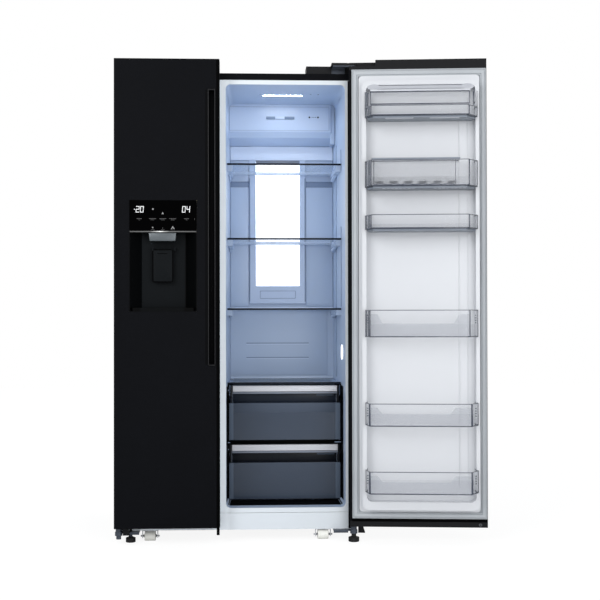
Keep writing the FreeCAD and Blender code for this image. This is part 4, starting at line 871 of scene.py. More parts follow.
# %% [markdown]
# Every shelf is toughened glass in two trims: a dark one along the front, where a hand
# grips it, and a pale one that seals the back. Moulded hooks on both walls carry it, and
# those on the right have slots that keep the shelf from tipping. The trims follow the
# model's own strips, so they are measured from it rather than written down.

# %% Shelf trims and hooks
dark_trims, pale_trims, tops = [], [], []
for low, high in islands("shelf_trims"):
    if high[1] < ROOM_BACK - 100:
        dark_trims.append(((low[0] - 8, high[0] + 6), (low[1], high[1]), (low[2], high[2])))
        tops.append(high[2])
    else:
        pale_trims.append(((low[0], high[0]), (low[1], high[1]), (low[2] - 1, high[2] + 6)))
front_trims = place("shelf_front_trims", bars(dark_trims, 1.4), trim_dark, "black_plastic")
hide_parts("shelf_trims")
place("shelf_back_trims", bars(pale_trims, 0.8), cool_bright, "black_plastic")
HOOK_FACE = (383.9, 385)
hooks, slots = bmesh.new(), []
for top in sorted(tops)[1:]:
    outline = [(165, top - 7), (455, top - 7), (455, top - 30), (420, top - 40),
               (330, top - 33), (185, top - 17)]
    add_plate(hooks, outline, 384.5, 397.5, sideways, 2.0)
    add_plate(hooks, outline, -31, -25, sideways, 1.5)
    slots.append((HOOK_FACE, (436, 442), (top - 30, top - 14)))
    slots.append((HOOK_FACE, (240, 262), (top - 14, top - 11)))
place("shelf_hooks", hooks, cool_bright, "white_plastic")
# The slots are dark with painted shade.
place("hook_slots", bars(slots, 0.3), hollow_shade, "white_plastic")
rails = [((401.4, 403.6), (140, 150), z) for z in ((1396, 1478), (870, 1180))]
rails += [((397.5, 400.2), (330, 344), (590, 1520))]
place("wall_rails", bars(rails, 0.8), cool_line, "white_plastic")
print("shelf tops", [round(t, 1) for t in sorted(tops)])

# %% [markdown]
# ## Crisper drawers
#
# The drawers are smoky polystyrene. What makes them read as boxes is painted light and
# shade on the faces of the moulding: thin bright strips at the sides and a lighter band
# along the upper one's top are painted light, the grip recess is darkened with painted
# shade and carries a light streak of painted reflection, and the edges seen end on are
# black. A black cross bar closes the gap between the two drawers, with small painted
# highlights near its ends, and a grey lip hangs under each silver bar. Black plates of
# painted shade line the room beside and in front of the drawers.

# %% Drawer fronts and the cross bar
BOTTOM_BLACK = 2.0
PANEL_TOP = {"lower_crisper": 267.0, "upper_crisper": 498.0}
SIDE_BANDS = ((-30.5, -14), (381.5, 400))
for name, panel_top in PANEL_TOP.items():
    low, high = span(name)
    bar_low, bar_high = span(name + "_bar")
    x = (low[0], high[0])
    y = low[1]
    z = (low[2], panel_top)
    edges = [(x, (y - 0.8, y + 1), (z[0], z[0] + BOTTOM_BLACK))]
    edges += [((s, s + 6), (y + 3, y + 26), (panel_top, bar_high[2] + 1))
              for s in (bar_low[0] - 8, bar_high[0] + 1)]
    place(name + "_edges", bars(edges, 0.4), smoky_dark, "smoky_plastic", body=name)
    # Painted light: brighter strips at the sides of each drawer's front.
    strips = [(band, (y - 0.5, y + 1), (z[0] + BOTTOM_BLACK, z[1] - 1)) for band in SIDE_BANDS]
    place(name + "_bands", bars(strips, 0.4), smoky_painted_light, "smoky_plastic", body=name)
    if name == "upper_crisper":
        # Painted light: a lighter band along the top of the upper drawer's front.
        top_band = [((-13, 380.5), (y - 0.5, y + 1), (z[1] - 38, z[1] - 1))]
        place(name + "_top_band", bars(top_band, 0.4), smoky_top_painted_light, "smoky_plastic", body=name)
    # Painted shade: the grip recess above each drawer front is drawn darker.
    grip = [((bar_low[0], bar_high[0]), (y + 22.6, y + 24), (panel_top + 2, bar_low[2] - 1))]
    grip += [((x[0] + 9, x[1] - 9), (y + 3, y + 23), (panel_top + 0.2, panel_top + 1.2))]
    shade = {"lower_crisper": smoky_dark, "upper_crisper": smoky_shade}[name]
    place(name + "_grip", bars(grip, 0.3), shade, "smoky_plastic", body=name)
    lip = [((bar_low[0], bar_high[0]), (y + 1, y + 9), (bar_low[2] - 8, bar_low[2] - 1))]
    place(name + "_lip", bars(lip, 1.0), lip_grey, "silver_trim", body=name)
    # Painted reflection: a light streak on the right of each drawer's grip recess.
    shine = [((bar_high[0] - 80, bar_high[0] - 12), (y + 22, y + 22.8),
              (bar_low[2] - 17, bar_low[2] - 13))]
    place(name + "_shine", bars(shine, 0.3), smoky_painted_light, "smoky_plastic", body=name)
cross = [((-36.3, 403), (176, 184), (338, 351.5)), ((-36.5, 403.4), (160, 166), (566.5, 570.5))]
place("drawer_cross_bar", bars(cross, 1.2), pure_black, "black_plastic")
# Painted shade: black plates on the floor in front of the drawers and beside them, where little light reaches.
BACK, LIP = 176, 171.5
SIDES, MAT, BLOCKS = (121, 566), (120.2, 121.4), (121.4, 124.6)
sides = bmesh.new()
for outline, (low, high) in (
        (((-39.0, 52), (-36.4, BACK), (-30.8, BACK), (-30.8, LIP), (-35.4, LIP), (-38.4, 52)),
         SIDES),
        (((405.4, 84), (403.5, BACK), (400.6, BACK), (400.6, LIP), (402.4, LIP), (404.7, 84)),
         SIDES),
        (((-38.6, 58), (405.4, 58), (403.5, BACK), (-36.4, BACK)), MAT),
        (((-38.4, 58), (-29, 58), (-27, 172), (-36.4, 172)), BLOCKS),
        (((405.2, 58), (396, 58), (394, 172), (403.5, 172)), BLOCKS)):
    add_plate(sides, outline, low, high, lying)
place("drawer_shade_plates", sides, pure_black, "black_plastic")
# Painted highlights: small light bars beside the drawers, two of them at the cross bar's ends.
bar_highlights = [((-36, -27), (168, 171), (343.5, 346.5)), ((378, 402), (168, 171), (343.5, 346.5)),
        ((-37, -31), (168, 171), (317, 320)), ((-37, -32), (168, 171), (545, 549))]
place("drawer_bar_highlights", bars(bar_highlights, 0.6), cool_line, "white_plastic")

# %% [markdown]
# ## Door bins
#
# A clear bin is nearly invisible except where plastic is seen along its thickness: the
# rim, the bottom edge and the corner posts turn dark blue grey. The three lower bins also
# have a frosted front with a shallow window cut in it, so tall bottles show their labels,
# and so have the freezer door's bins. The strips below follow one drawn plan of a bin's
# wall, offset inwards with mitred corners.

# %% Bin outline and offset strips
BIN_CORNER, BIN_STEPS = 9.0, 5
CHEEKS_ABOVE = 700


def offset(path, distance):
    """Move an open path to its left side by a distance, keeping mitres."""
    moved = []
    for i, point in enumerate(path):
        normals = []
        for a, b in ((i - 1, i), (i, i + 1)):
            if a >= 0 and b < len(path):
                dx, dy = path[b][0] - path[a][0], path[b][1] - path[a][1]
                length = math.hypot(dx, dy)
                normals.append((-dy / length, dx / length))
        nx = sum(n[0] for n in normals) / len(normals)
        ny = sum(n[1] for n in normals) / len(normals)
        square = nx * nx + ny * ny
        moved.append((point[0] + nx / square * distance, point[1] + ny / square * distance))
    return moved


def bin_path(door, front, reach):
    """Plan of a bin's wall from its back left, round the front, to its back right."""
    x0, x1 = well(door)
    path = [(x0 + 1, -4), (x0 + 1, 33.2), (x0 - 4.6, 35.6), (x0 - 3, 47.6)]
    for corner, sign in ((x0 + reach[0], 1), (x1 - reach[1], -1)):
        cx, cy = corner + sign * BIN_CORNER, front - BIN_CORNER
        for i in range(BIN_STEPS + 1):
            a = math.radians(90 * i / BIN_STEPS)
            if sign > 0:
                path.append((cx - BIN_CORNER * math.cos(a), cy + BIN_CORNER * math.sin(a)))
            else:
                path.append((cx + BIN_CORNER * math.sin(a), cy + BIN_CORNER * math.cos(a)))
    path += [(x1 + 5, 47.6), (x1 + 6.6, 35.6), (x1 - 1, 33.2), (x1 - 1, -4)]
    return path


def add_strip(mesh, path, low, high, outer, inner):
    """A band that follows a path between two offsets and two heights."""
    outline = offset(path, -outer) + list(reversed(offset(path, -inner)))
    add_plate(mesh, outline, low, high, lying, 0.4)


def window_front(x, z, drop, inset):
    """Outline of a frosted front with a trapezoid window cut from its top."""
    left, right = x
    rise = z[1] - 13
    return [(left, z[0]), (right, z[0]), (right, rise), (right - inset, rise),
            (right - inset - 18, z[1] - drop), (left + 42, z[1] - drop), (left + 24, rise),
            (left, rise)]


def add_sheet(mesh, corners):
    """One face through the given corners."""
    mesh.faces.new([mesh.verts.new(corner) for corner in corners])


def add_shell(mesh, path, z, back):
    """Clear wall of a bin as one sheet: sides and front, floor and a lower back."""
    middle = offset(path, -1.3)
    low = [mesh.verts.new((x, y, z[0])) for x, y in middle]
    high = [mesh.verts.new((x, y, z[1])) for x, y in middle]
    for i in range(len(middle) - 1):
        mesh.faces.new((low[i], low[i + 1], high[i + 1], high[i]))
    mesh.faces.new(low)
    (x0, y0), (x1, y1) = middle[0], middle[-1]
    top = z[0] + back
    add_sheet(mesh, ((x0, y0, z[0]), (x1, y1, z[0]), (x1, y1, top), (x0, y0, top)))


def dress_bin(name, door, front, z, frosted_front, drop=0, reach=(17, 27), inset=22):
    """Shell, rim, foot and posts of one bin, and its frosted front or its tinted base."""
    body = BODY[door]
    path = bin_path(door, front, reach)
    rim, foot, post = bmesh.new(), bmesh.new(), bmesh.new()
    add_strip(rim, path, z[1] - 2.6, z[1] + 0.3, -0.3, 2.6)
    add_strip(foot, path, z[0] - 0.3, z[0] + 3.4, -0.3, 2.8)
    shell = bmesh.new()
    add_shell(shell, path, (z[0] + 1.2, z[1] - 0.4), (z[1] - z[0]) * 0.45)
    wall = place(name + "_shell", shell, clear_wall, "clear_plastic", door, body, smooth=50)
    x0, x1 = path[0][0] - 1, path[-1][0] + 1
    thick = 6.5 if frosted_front and door == "fridge" and z[0] < 600 else 4.0
    left, right = x0 + reach[0] - 1.5, x1 - reach[1] + 1.5
    for x in ((left, left + thick), (right - thick, right)):
        add_bar(post, x, (front - 5, front + 0.2), (z[0] + 1, z[1] - 1), 1.4)
    for x in ((x0 - 4.4, x0 - 1.8), (x1 + 3.8, x1 + 6.4)):
        add_bar(post, x, (42, 47.5), (z[0] + 1, z[1] - 1), 0.8)
    for part, mesh, look in (("_rim", rim, clear_rim), ("_foot", foot, clear_edge),
                             ("_posts", post, clear_edge)):
        place(name + part, mesh, look, "clear_plastic", door, body)
    if frosted_front:
        plate = bmesh.new()
        outline = window_front((left + 6.5, right - 6.5), (z[0] + 3, z[1] - 2), drop, inset)
        add_sheet(plate, [(a, front - 3.2, b) for a, b in outline])
        place(name + "_frosting", plate, frosted, "clear_plastic", door, body)
        clips = [((x, x + 5), (49, 53), (z[1] - 22 - 9 * k, z[1] - 18 - 9 * k))
                 for x in (x0 + 1, x1 - 6) for k in range(4)]
        place(name + "_clips", bars(clips, 0.6), clear_rim, "clear_plastic", door, body)
    else:
        base = bmesh.new()
        add_plate(base, offset(path, -3.2), z[0] + 2.3, z[0] + 4.2, lying, 0.4)
        add_plate(base, offset(path, -7), z[0] - 8, z[0] - 0.2, lying, 2.0)
        place(name + "_base", base, base_tint, "clear_plastic", door, body)
    if not frosted_front or z[0] > CHEEKS_ABOVE:
        cheek = bmesh.new()
        add_bar(cheek, (x0 - 3.4, x0 + 3), (50, 53), (z[0] + 3, z[1] - 2), 1.0)
        add_bar(cheek, (x0 + 5, x0 + 15), (front - 12, front - 9), (z[0] + 3, z[1] - 2), 1.0)
        place(name + "_cheeks", cheek, cheek_tint, "clear_plastic", door, body)
    return wall


for (low, high), drop, reach, inset in zip(
        islands("door_bins_lower", "fridge"), (35, 35, 47), ((9, 19), (9, 19), (10, 27)),
        (55, 55, 33)):
    label = "bin_%d" % round(low[2])
    wall = dress_bin(label, "fridge", high[1], (low[2], high[2]), True, drop, reach, inset)
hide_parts("door_bins_lower")
for node, height in (("door_bin_narrow", 51), ("door_bin_egg", 95), ("door_bin_dairy", 37)):
    low, high = span(node, "fridge")
    wall = dress_bin(node + "_edge", "fridge", high[1], (low[2], low[2] + height), False)
    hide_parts(node)
for low, high in islands("freezer_door_bins", "freezer"):
    label = "freezer_bin_%d" % round(low[2])
    wall = dress_bin(label, "freezer", high[1], (low[2], high[2]), True, 40)
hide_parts("freezer_door_bins")
print("bins dressed")

# %% [markdown]
# The butter box has a lid with a dark front edge. Two pale windows under its floor, and a
# row of small ones under the egg bin, let light through. The egg tray is a tub of its own
# with a thick rim, two rows of cup rings, and a wavy line where the cups' undersides show.

# %% Dairy lid, base windows, egg tray
lid_low, lid_high = span("dairy_lid", "fridge")
front = lid_high[1]
x = (well("fridge")[0] + 15, well("fridge")[1] - 25)
y, z = (front - 3, front - 0.4), (1598.5, 1638.5)
edge = [(x, y, (z[1], 1642)), (x, (front - 3, front - 0.2), (1594.5, z[0])),
        ((x[0], x[0] + 3), y, z), ((x[1] - 3, x[1]), y, z)]
place("lid_edges", bars(edge, 0.7), clear_edge, "clear_plastic", "fridge", "dairy_lid")
post = [((59 - HALF, 70 - HALF), (42, 45), (1586, 1651)),
        ((WIDTH["fridge"] - 40.5 - HALF, WIDTH["fridge"] - 38 - HALF), (42, 46), (1586, 1651))]
place("dairy_tall_cheeks", bars(post, 1.0), cheek_tint, "clear_plastic", "fridge")
# Painted highlight: a pale strip where the lid's rounded upper edge catches light.
lip = bars([((79 - HALF, 440 - HALF), (58, 62), (1650.5, 1656.0))], 1.8)
place("lid_edge_highlight", lip, lid_highlight, "clear_plastic", "fridge", "dairy_lid")
lid = bmesh.new()
lx, ly, lz = zip(lid_low, lid_high)
face, crease, top = ly[1] - 2, 1641, 1649
add_sheet(lid, ((x[0], face, lz[0] + 1), (x[1], face, lz[0] + 1), (x[1], face, crease),
                (x[0], face, crease)))
add_sheet(lid, ((x[0], face, crease), (x[1], face, crease), (lx[1] - 2, ly[0] + 3, top),
                (lx[0] + 2, ly[0] + 3, top)))
lid_wall = place("dairy_lid_sheet", lid, clear_wall, "clear_plastic", "fridge", "dairy_lid")
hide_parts("dairy_lid")
low, high = span("door_bin_dairy", "fridge")
windows = [((a - HALF, b - HALF), (high[1] - 29, high[1] - 10), (low[2] - 8.7, low[2] - 7.9))
           for a, b in ((133, 234), (293, 399))]
low, high = span("door_bin_egg", "fridge")
windows += [((a + 15 * k - HALF, a + 15 * k + 11 - HALF), (high[1] - 24, high[1] - 11),
             (low[2] - 8.7, low[2] - 7.9)) for a in (122, 306) for k in range(8)]
place("dairy_windows", bars(windows, 0.25), pale_window, "clear_plastic", "fridge")
CHEEKS = (WELL_LEFT - HALF + 5.8, 460.5 - HALF - 9.2)
cheek = [((a, a + 3.4), (40, 88), (1600, 1603)) for a in CHEEKS]
cheek += [((a, a + 3.4), (38, 44), (1603, 1649)) for a in CHEEKS]
place("dairy_cheek_edges", bars(cheek, 0.7), clear_edge, "clear_plastic", "fridge")

tray_low, tray_high = span("egg_tray", "fridge")
x, y = (tray_low[0], tray_high[0]), (tray_low[1], tray_high[1])
top = tray_high[2] + 14
lip = bars([(x, (y[1] - 4, y[1] + 0.6), (top - 9, top + 0.4))], 1.2)
place("egg_tray_lip", lip, base_tint, "clear_plastic", "fridge")
rim = [(x, (y[0] - 0.6, y[0] + 3), (top - 3, top + 0.4)),
       ((x[0] - 0.6, x[0] + 3.4), y, (top - 4.5, top + 0.4)),
       ((x[1] - 3.4, x[1] + 0.6), y, (top - 4.5, top + 0.4))]
rim += [((x[0] + 6, x[0] + 9), (y[1] - 1.6, y[1] + 0.4), (tray_low[2] + 4, top - 5)),
        ((x[1] - 17, x[1] - 15), (y[1] - 1.6, y[1] + 0.4), (tray_low[2] + 4, top - 5))]
place("egg_tray_rim", bars(rim, 0.9), clear_edge, "clear_plastic", "fridge")
tub = bmesh.new()
add_shell(tub, [(x[0] + 1, y[0]), (x[0] + 1, y[1] - 1), (x[1] - 1, y[1] - 1), (x[1] - 1, y[0])],
          (tray_low[2] + 1, top - 0.5), top - tray_low[2] - 2)
tub_wall = place("egg_tray_tub", tub, clear_film, "clear_plastic", "fridge")
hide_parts("egg_tray")
wave = []
WAVE_STEPS = 96
for i in range(WAVE_STEPS + 1):
    share = i / WAVE_STEPS
    lift = 2.6 * abs(math.sin(math.pi * 6 * share))
    wave.append((x[0] + 8 + (x[1] - x[0] - 24) * share, tray_low[2] + 1.5 + lift))
outline = wave + [(a, b + 2.4) for a, b in reversed(wave)]
cups = bmesh.new()
add_plate(cups, outline, y[1] - 0.2, y[1] + 0.8, upright, 0.0)
place("egg_cups_line", cups, clear_edge, "clear_plastic", "fridge")
bowls = bmesh.new()
for i in range(6):
    for depth in (y[0] + 24, y[1] - 24):
        centre = (x[0] + (x[1] - x[0]) / 6 * (i + 0.5), depth, tray_low[2] + 3.2)
        lathe(bowls, ((16.6, 12.2), (17.0, 12.5), (16.6, 12.8)), centre, "Z", 32)
place("egg_bowls", bowls, clear_film, "clear_plastic", "fridge")

# %% [markdown]
# ## Door lining details
#
# At the top of the lining a shallow grey band with rounded lobes at its ends is painted
# shade, where the lining's top edge above the butter box is seen from below. Down the
# right side of the well run two soft ribs.

# %% Painted shade band and lining ribs
def lobed_bar(x, z, lobe):
    """Outline of a bar that swells into an ellipse at each end."""
    points = []
    middle = (z[0] + z[1]) / 2
    half = (z[1] - z[0]) / 2
    for end, start in ((x[1], -150), (x[0], 30)):
        centre = end - lobe if end == x[1] else end + lobe
        for i in range(17):
            a = math.radians(start + 300 * i / 16)
            points.append((centre + lobe * math.cos(a), middle + half * math.sin(a)))
    return points


# Painted shade: a grey band under the lining's top edge above the butter box.
bar = bmesh.new()
width = WIDTH["fridge"]
add_plate(bar, lobed_bar((68 - HALF, width - 50 - HALF), (1658, 1680), 24), 33.9, 35.4,
          upright, 0.5)
place("lining_shade_band", bar, lining_shade, "white_plastic", "fridge")
for door in DOORS:
    ribs = [((s - HALF, s + 3 - HALF), (-7.5, -5.6), (200, 1640))
            for s in (WIDTH[door] - 104, WIDTH[door] - 72)]
    place(door + "_lining_ribs", bars(ribs, 1.2), door_lining, "white_plastic", door)

# %% [markdown]
# ## Dispenser
#
# The display sits behind black glass, so only its lit signs show: two temperatures made of
# seven bar digits, a few symbols and five dim captions, which are drawn as plain bars.
# A polished strip parts the glass from the recess. Its colour carries a painted highlight,
# brightest in its middle, where the curved face would catch the light.

# %% Display signs
SEGMENTS = {"0": "abcdef", "2": "abged", "4": "fgbc", "-": "g"}
TRIM, LEAN = 0.5, 0.08
DIGIT_FLOOR, DIGIT_HEIGHT = 1214, 24


def digit(mesh, sign, x, z, width, height, thick, y):
    """Seven bar digit with its lower left corner at x, z."""
    mid = z + height / 2
    places = {
        "a": ((x, x + width), (z + height - thick, z + height)),
        "g": ((x, x + width), (mid - thick / 2, mid + thick / 2)),
        "d": ((x, x + width), (z, z + thick)),
        "f": ((x, x + thick), (mid, z + height)), "e": ((x, x + thick), (z, mid)),
        "b": ((x + width - thick, x + width), (mid, z + height)),
        "c": ((x + width - thick, x + width), (z, mid)),
    }
    for key in SEGMENTS[sign]:
        (a0, a1), (b0, b1) = places[key]
        left, right, low, high = a0 + TRIM, a1 - TRIM, b0 + TRIM, b1 - TRIM
        shape = [(left, low), (right, low), (right, high), (left, high)]
        leaned = [(a + (b - z) * LEAN, b) for a, b in shape]
        add_plate(mesh, leaned, y - 0.35, y, upright)


glass_face = span("dispenser_panel")[0][1]
lit = bmesh.new()
for sign, x, width, thick in (("-", -375, 5, 3.0), ("2", -368, 13.5, 3.2),
                              ("0", -352.5, 13.5, 3.2), ("0", -199.5, 13.5, 3.2),
                              ("4", -183.5, 13.5, 3.2)):
    digit(lit, sign, x, DIGIT_FLOOR, width, DIGIT_HEIGHT, thick, glass_face)
place("display_digits", lit, display_white, "panel_glass", "freezer")
soft = bmesh.new()
for x, z, size in ((-304.5, 1226.8, 3.0), (-305.4, 1159.4, 2.4)):
    lathe(soft, ((size, 0), (size, 0.3)), (x, glass_face - 0.32, z), "Y", 16)
ARROW = (-273, 1208.5), (-265, 1208.5), (-269, 1216.5)
CHEVRON = ((-239, 1154), (-235.5, 1154), (-232.3, 1160), (-229, 1154), (-225.5, 1154),
           (-232.3, 1165))
for outline in (ARROW, CHEVRON):
    add_plate(soft, outline, glass_face - 0.35, glass_face, upright)
place("display_symbols", soft, display_grey, "panel_glass", "freezer")
words = []
for left, right in ((-364, -345), (-319, -293), (-281, -256), (-245, -220), (-191, -173)):
    words += [((left, right), (1190.8, 1192.8)), ((left + 6, right - 6), (1186.6, 1188.2))]
words += [((-153.4, -152), (1187.5, 1192.5)), ((-270, -268.6), (1154, 1160)),
          ((-311, -299), (1151.4, 1152.6)), ((-275, -262), (1151.4, 1152.6)),
          ((-240, -225), (1150.4, 1151.6))]
dim = [(x, (glass_face - 0.3, glass_face), z) for x, z in words]
place("display_captions", bars(dim, 0.0), display_dim, "panel_glass", "freezer")
print("display drawn")

# %% Strip, spout, paddle outline
strip_low, strip_high = islands("dispenser_spout")[-1]
nozzle = bmesh.new()
middle = (strip_low[0] + strip_high[0]) / 2 - 2.5
outline = [(-50, 0), (50, 0), (46.5, -30), (-46.5, -30)]
add_plate(nozzle, [(middle + a, 1141 + b) for a, b in outline], -70, -37, upright, 1.6)
spout = place("spout_nozzle", nozzle, spout_paint, "silver_trim", "freezer")
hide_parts("dispenser_spout")
strip = bmesh.new()
STRIP_STEPS = 48
length = strip_high[0] - strip_low[0] - 1.2
for i in range(STRIP_STEPS):
    a, b = (strip_low[0] + 0.6 + length * k / STRIP_STEPS for k in (i, i + 1))
    add_bar(strip, (a, b), (-75.9, -71.5), (1142.6, 1146.6))
bmesh.ops.remove_doubles(strip, verts=strip.verts, dist=0.001)
place("trim_strip", strip, strip_painted_highlight, "silver_trim", "freezer")

low, high = span("dispenser_paddle")
y = low[1]
pad_x, pad_z = (-307.5, -234.5), (961, 1080)
pad = bmesh.new()
add_plate(pad, round_corners(pad_x, pad_z, 6), y - 0.6, y + 1.5, upright, 0.3)
place("paddle_face", pad, recess_painted_shade, "paddle_plastic", "freezer", "dispenser_paddle")
ring = bmesh.new()
rounded_ring(ring, pad_x, pad_z, 6, 4.4, y - 1.3, y + 1.0)
add_bar(ring, (-291, -254), (y - 1.0, y), (1064.5, 1067.0), 0.2)
place("paddle_outline", ring, pure_black, "paddle_plastic", "freezer", "dispenser_paddle")

# %% [markdown]
# ## Handles
#
# The grips are recessed channels. Only their two rounded edges catch light, so each door
# gets a thin pair of edge beads along the mouth, joined by short beads at the ends, whose
# lighter colour is a painted highlight, and a dark floor in the channel.

# %% Handle edge beads
BEAD = (DOOR_FACE - 2.1, DOOR_FACE - 0.5)
for door in DOORS:
    right = WIDTH[door] - 12.5 - HALF
    left = right - 34
    z = (654.0, 1668.0)
    # Painted highlight: the beads are lighter than the door, for the light on the channel's rounded edges.
    beads = [((left + 4.2, left + 7), BEAD, z), ((right - 5.6, right - 3.2), BEAD, z),
             ((left + 4.2, right - 3.2), BEAD, (z[0], z[0] + 2.5)),
             ((left + 4.2, right - 3.2), BEAD, (z[1] - 2.5, z[1]))]
    place(door + "_handle_beads", bars(beads, 0.7), bead_highlight, "black_plastic", door)
    floor = [((left + 7.5, right - 7.5), (DOOR_FACE + 24.6, DOOR_FACE + 25.6), (664, 1658))]
    place(door + "_handle_floor", bars(floor, 0.3), grip_plastic, "black_plastic", door)

# %% [markdown]
# ## Hinges, screws, feet and rollers
#
# Fasteners are turned shapes: a screw is a low dome with a cross cut in it, here two
# dark crossed bars set into the dome, dark with the painted shade of the cut. The feet have
# a threaded stem and a knurled rim, made by letting the radius of a turned profile rise and
# fall round the circle. The rollers have two shallow grooves.

# %% Screw heads
def add_screw(heads, cuts, centre, radius, axis):
    """A domed head, and the two bars of its cross, on two meshes."""
    lathe(heads, ((radius, 0), (radius, radius * 0.22), (radius * 0.72, radius * 0.46),
                  (0.3, radius * 0.52)), centre, axis, 24)
    reach, half, rise = radius * 0.5, radius * 0.11, radius * 0.50
    for a, b in ((reach, half), (half, reach)):
        if axis == "Y":
            limits = (centre[1] + rise * 0.8, centre[1] + rise + 0.25)
            add_bar(cuts, (centre[0] - a, centre[0] + a), limits, (centre[2] - b, centre[2] + b))
        else:
            add_bar(cuts, (centre[0] - a, centre[0] + a), (centre[1] - b, centre[1] + b),
                    (centre[2] + rise * 0.8, centre[2] + rise + 0.25))


heads, cuts = bmesh.new(), bmesh.new()
depth = span("rear_panel")[1][1]
PANEL_SCREWS = (-415, -205, 0, 205, 415), (284, 1010, 1726), 5
COVER_SCREWS = (-425, -150, 150, 425), (56, 256), 4.5
for columns, rows, radius in (PANEL_SCREWS, COVER_SCREWS):
    for x in columns:
        for z in rows:
            add_screw(heads, cuts, (x, depth - 0.2, z), radius, "Y")
place("rear_screws", heads, bright_steel, "zinc_steel")
place("rear_screw_cuts", cuts, hollow_shade, "zinc_steel")
heads, cuts = bmesh.new(), bmesh.new()
for side in (-1, 1):
    for x in (330, 352):
        add_screw(heads, cuts, (side * x, 64, 1745), 5, "Z")
place("hinge_screws", heads, bright_steel, "hinge_steel")
place("hinge_screw_cuts", cuts, hollow_shade, "hinge_steel")
heads, cuts = bmesh.new(), bmesh.new()
add_screw(heads, cuts, (WIDTH["fridge"] - 27 - HALF, DOOR_INNER - 0.1, 69), 6, "Y")
place("door_cap_screw", heads, screw_grey, "black_plastic", "fridge")
# The cap screw's cross is black, painted shade of the cut.
place("door_cap_screw_cut", cuts, pure_black, "black_plastic", "fridge")
print("screws placed")

# %% Black returns beside the front frame, and painted shade beside the freezer door's handle
low, high = span("lower_front_panel")[0][2], span("front_frame")[1][2]
returns = [((side * 425.9 - 9.3, side * 425.9 + 9.3), (-0.3, 0.2), (low + 1, high - 1))
           for side in (-1, 1)]
place("frame_side_returns", bars(returns, 0.1), black_paint, "black_steel")
# Painted shade: a black strip on the freezer door's face between its handle and its edge, where the face rounds
# off.
margin = [((-73.2, -62.2), (DOOR_FACE - 0.3, DOOR_FACE + 1.0), (CAPS_FLOOR + 2, DOOR_HEAD - 2))]
place("handle_edge_shade", bars(margin, 0.2), pure_black, "black_plastic", "freezer")
print("returns placed")

# %% Rear panel ribs, machine cover frame and water inlet
RIBS_Z, RIB_Y = (330, 1690), (depth - 0.2, depth + 2.6)
ribs = [((x - 5, x + 5), RIB_Y, RIBS_Z) for x in (-330, -110, 110, 330)]
ribs += [((-335, 335), RIB_Y, (z - 5, z + 5)) for z in RIBS_Z]
place("rear_panel_ribs", bars(ribs, 2.0), black_paint, "black_steel")
cover_frame = [((-444, 444), (depth - 0.2, depth + 2), (z - 4, z + 4)) for z in (48, 264)]
cover_frame += [((x - 4, x + 4), (depth - 0.2, depth + 2), (52, 260)) for x in (-440, 440)]
place("machine_cover_frame", bars(cover_frame, 1.4), black_plastic, "black_plastic")
inlet = bmesh.new()
lathe(inlet, ((15, 0), (15, 2), (10, 3), (10, 6), (7.5, 6.6), (6.4, 6.8)), (330, depth - 0.1, 236),
      "Y", 36, lambda i: 0.03 * (i % 2))
place("water_inlet", inlet, white_enamel, "white_frame")

# %% Roller rims, feet and bracket bolts
for node in ("left_front_roller", "right_front_roller"):
    low, high = span(node)
    centre = [(a + b) / 2 for a, b in zip(low, high)]
    radius = (high[2] - low[2]) / 2
    half = (high[0] - low[0]) / 2
    tread, groove = radius - 0.05, radius - 1.1
    profile = [(radius - 9, -half), (radius - 1.4, -half), (tread, -half + 2.6),
               (tread, -7), (groove, -6), (groove, -4), (tread, -3),
               (tread, 3), (groove, 4), (groove, 6), (tread, 7),
               (tread, half - 2.6), (radius - 1.4, half), (radius - 9, half)]
    wheel = bmesh.new()
    lathe(wheel, profile, centre, "X", 56)
    place(node + "_tread", wheel, roller_nylon, "roller_white", body=node)
    ends = bmesh.new()
    for side in (-1, 1):
        lathe(ends, ((2.95, 0), (5.6, 0.1), (5.6, 1.8), (2.95, 2)),
              (centre[0] + side * (half + 3) - 1, centre[1], centre[2]), "X", 24)
    place(node + "_washers", ends, hinge_steel, "zinc_steel")
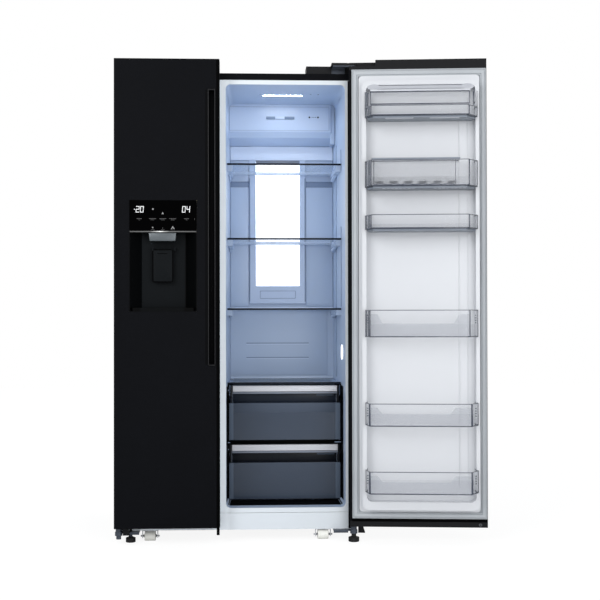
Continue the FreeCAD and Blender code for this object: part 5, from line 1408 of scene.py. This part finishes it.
for node in ("left_front_foot", "right_front_foot"):
    low, high = span(node)
    centre = ((low[0] + high[0]) / 2, (low[1] + high[1]) / 2, 0)
    radius = (high[0] - low[0]) / 2
    knurl = bmesh.new()
    profile = ((radius * 0.97, 1.6), (radius * 0.992, 2.8), (radius * 0.992, 14),
               (radius * 0.93, 16.6), (radius * 0.5, 17.3))
    lathe(knurl, profile, centre, "Z", 72, lambda i: -0.035 * (i % 2))
    place(node + "_knurl", knurl, foot_rubber, "foot_rubber", body=node)
    stem = bmesh.new()
    profile = [(6.6, 17.5)]
    for k in range(6):
        profile += [(6.6, 18.5 + 2.2 * k), (5.9, 19.2 + 2.2 * k), (6.6, 20.0 + 2.2 * k)]
    lathe(stem, profile, centre, "Z", 28)
    place(node + "_stem", stem, hinge_steel, "foot_rubber", body=node)
print("small parts done")

# %% [markdown]
# ## Freezer room
#
# The freezer stays shut in the main view, but its door opens too. Its shelves get bright
# front edges, the baskets and the ice bin get rims, so they read as plastic boxes, and the
# duct cover gets slats where the air returns.

# %% Freezer shelf edges and rims
edges = [((low[0] + 2, high[0] - 2), (low[1] - 1.5, low[1] + 4), (low[2] - 1, high[2] + 1.5))
         for low, high in islands("freezer_shelves")]
place("freezer_shelf_edges", bars(edges, 1.2), cool_bright, "shelf_glass")
rims = bmesh.new()
for node in ("freezer_baskets", "ice_bin"):
    for low, high in islands(node):
        x, y, z = (low[0], high[0]), (low[1], high[1]), high[2]
        for limits in ((x, (y[0] - 1, y[0] + 4)), (x, (y[1] - 3.5, y[1] + 0.5)),
                       ((x[0] - 1, x[0] + 3.5), y), ((x[1] - 3.5, x[1] + 1), y)):
            add_bar(rims, limits[0], limits[1], (z - 4, z + 0.6), 1.0)
place("freezer_rims", rims, clear_rim, "clear_plastic")
cover = span("freezer_duct_cover")[0][1]
slats = [((-330, -156), (cover - 2.2, cover), (z, z + 5)) for z in range(360, 504, 16)]
place("freezer_return_slats", bars(slats, 1.0), freezer_lining, "white_plastic")
print("freezer dressed")
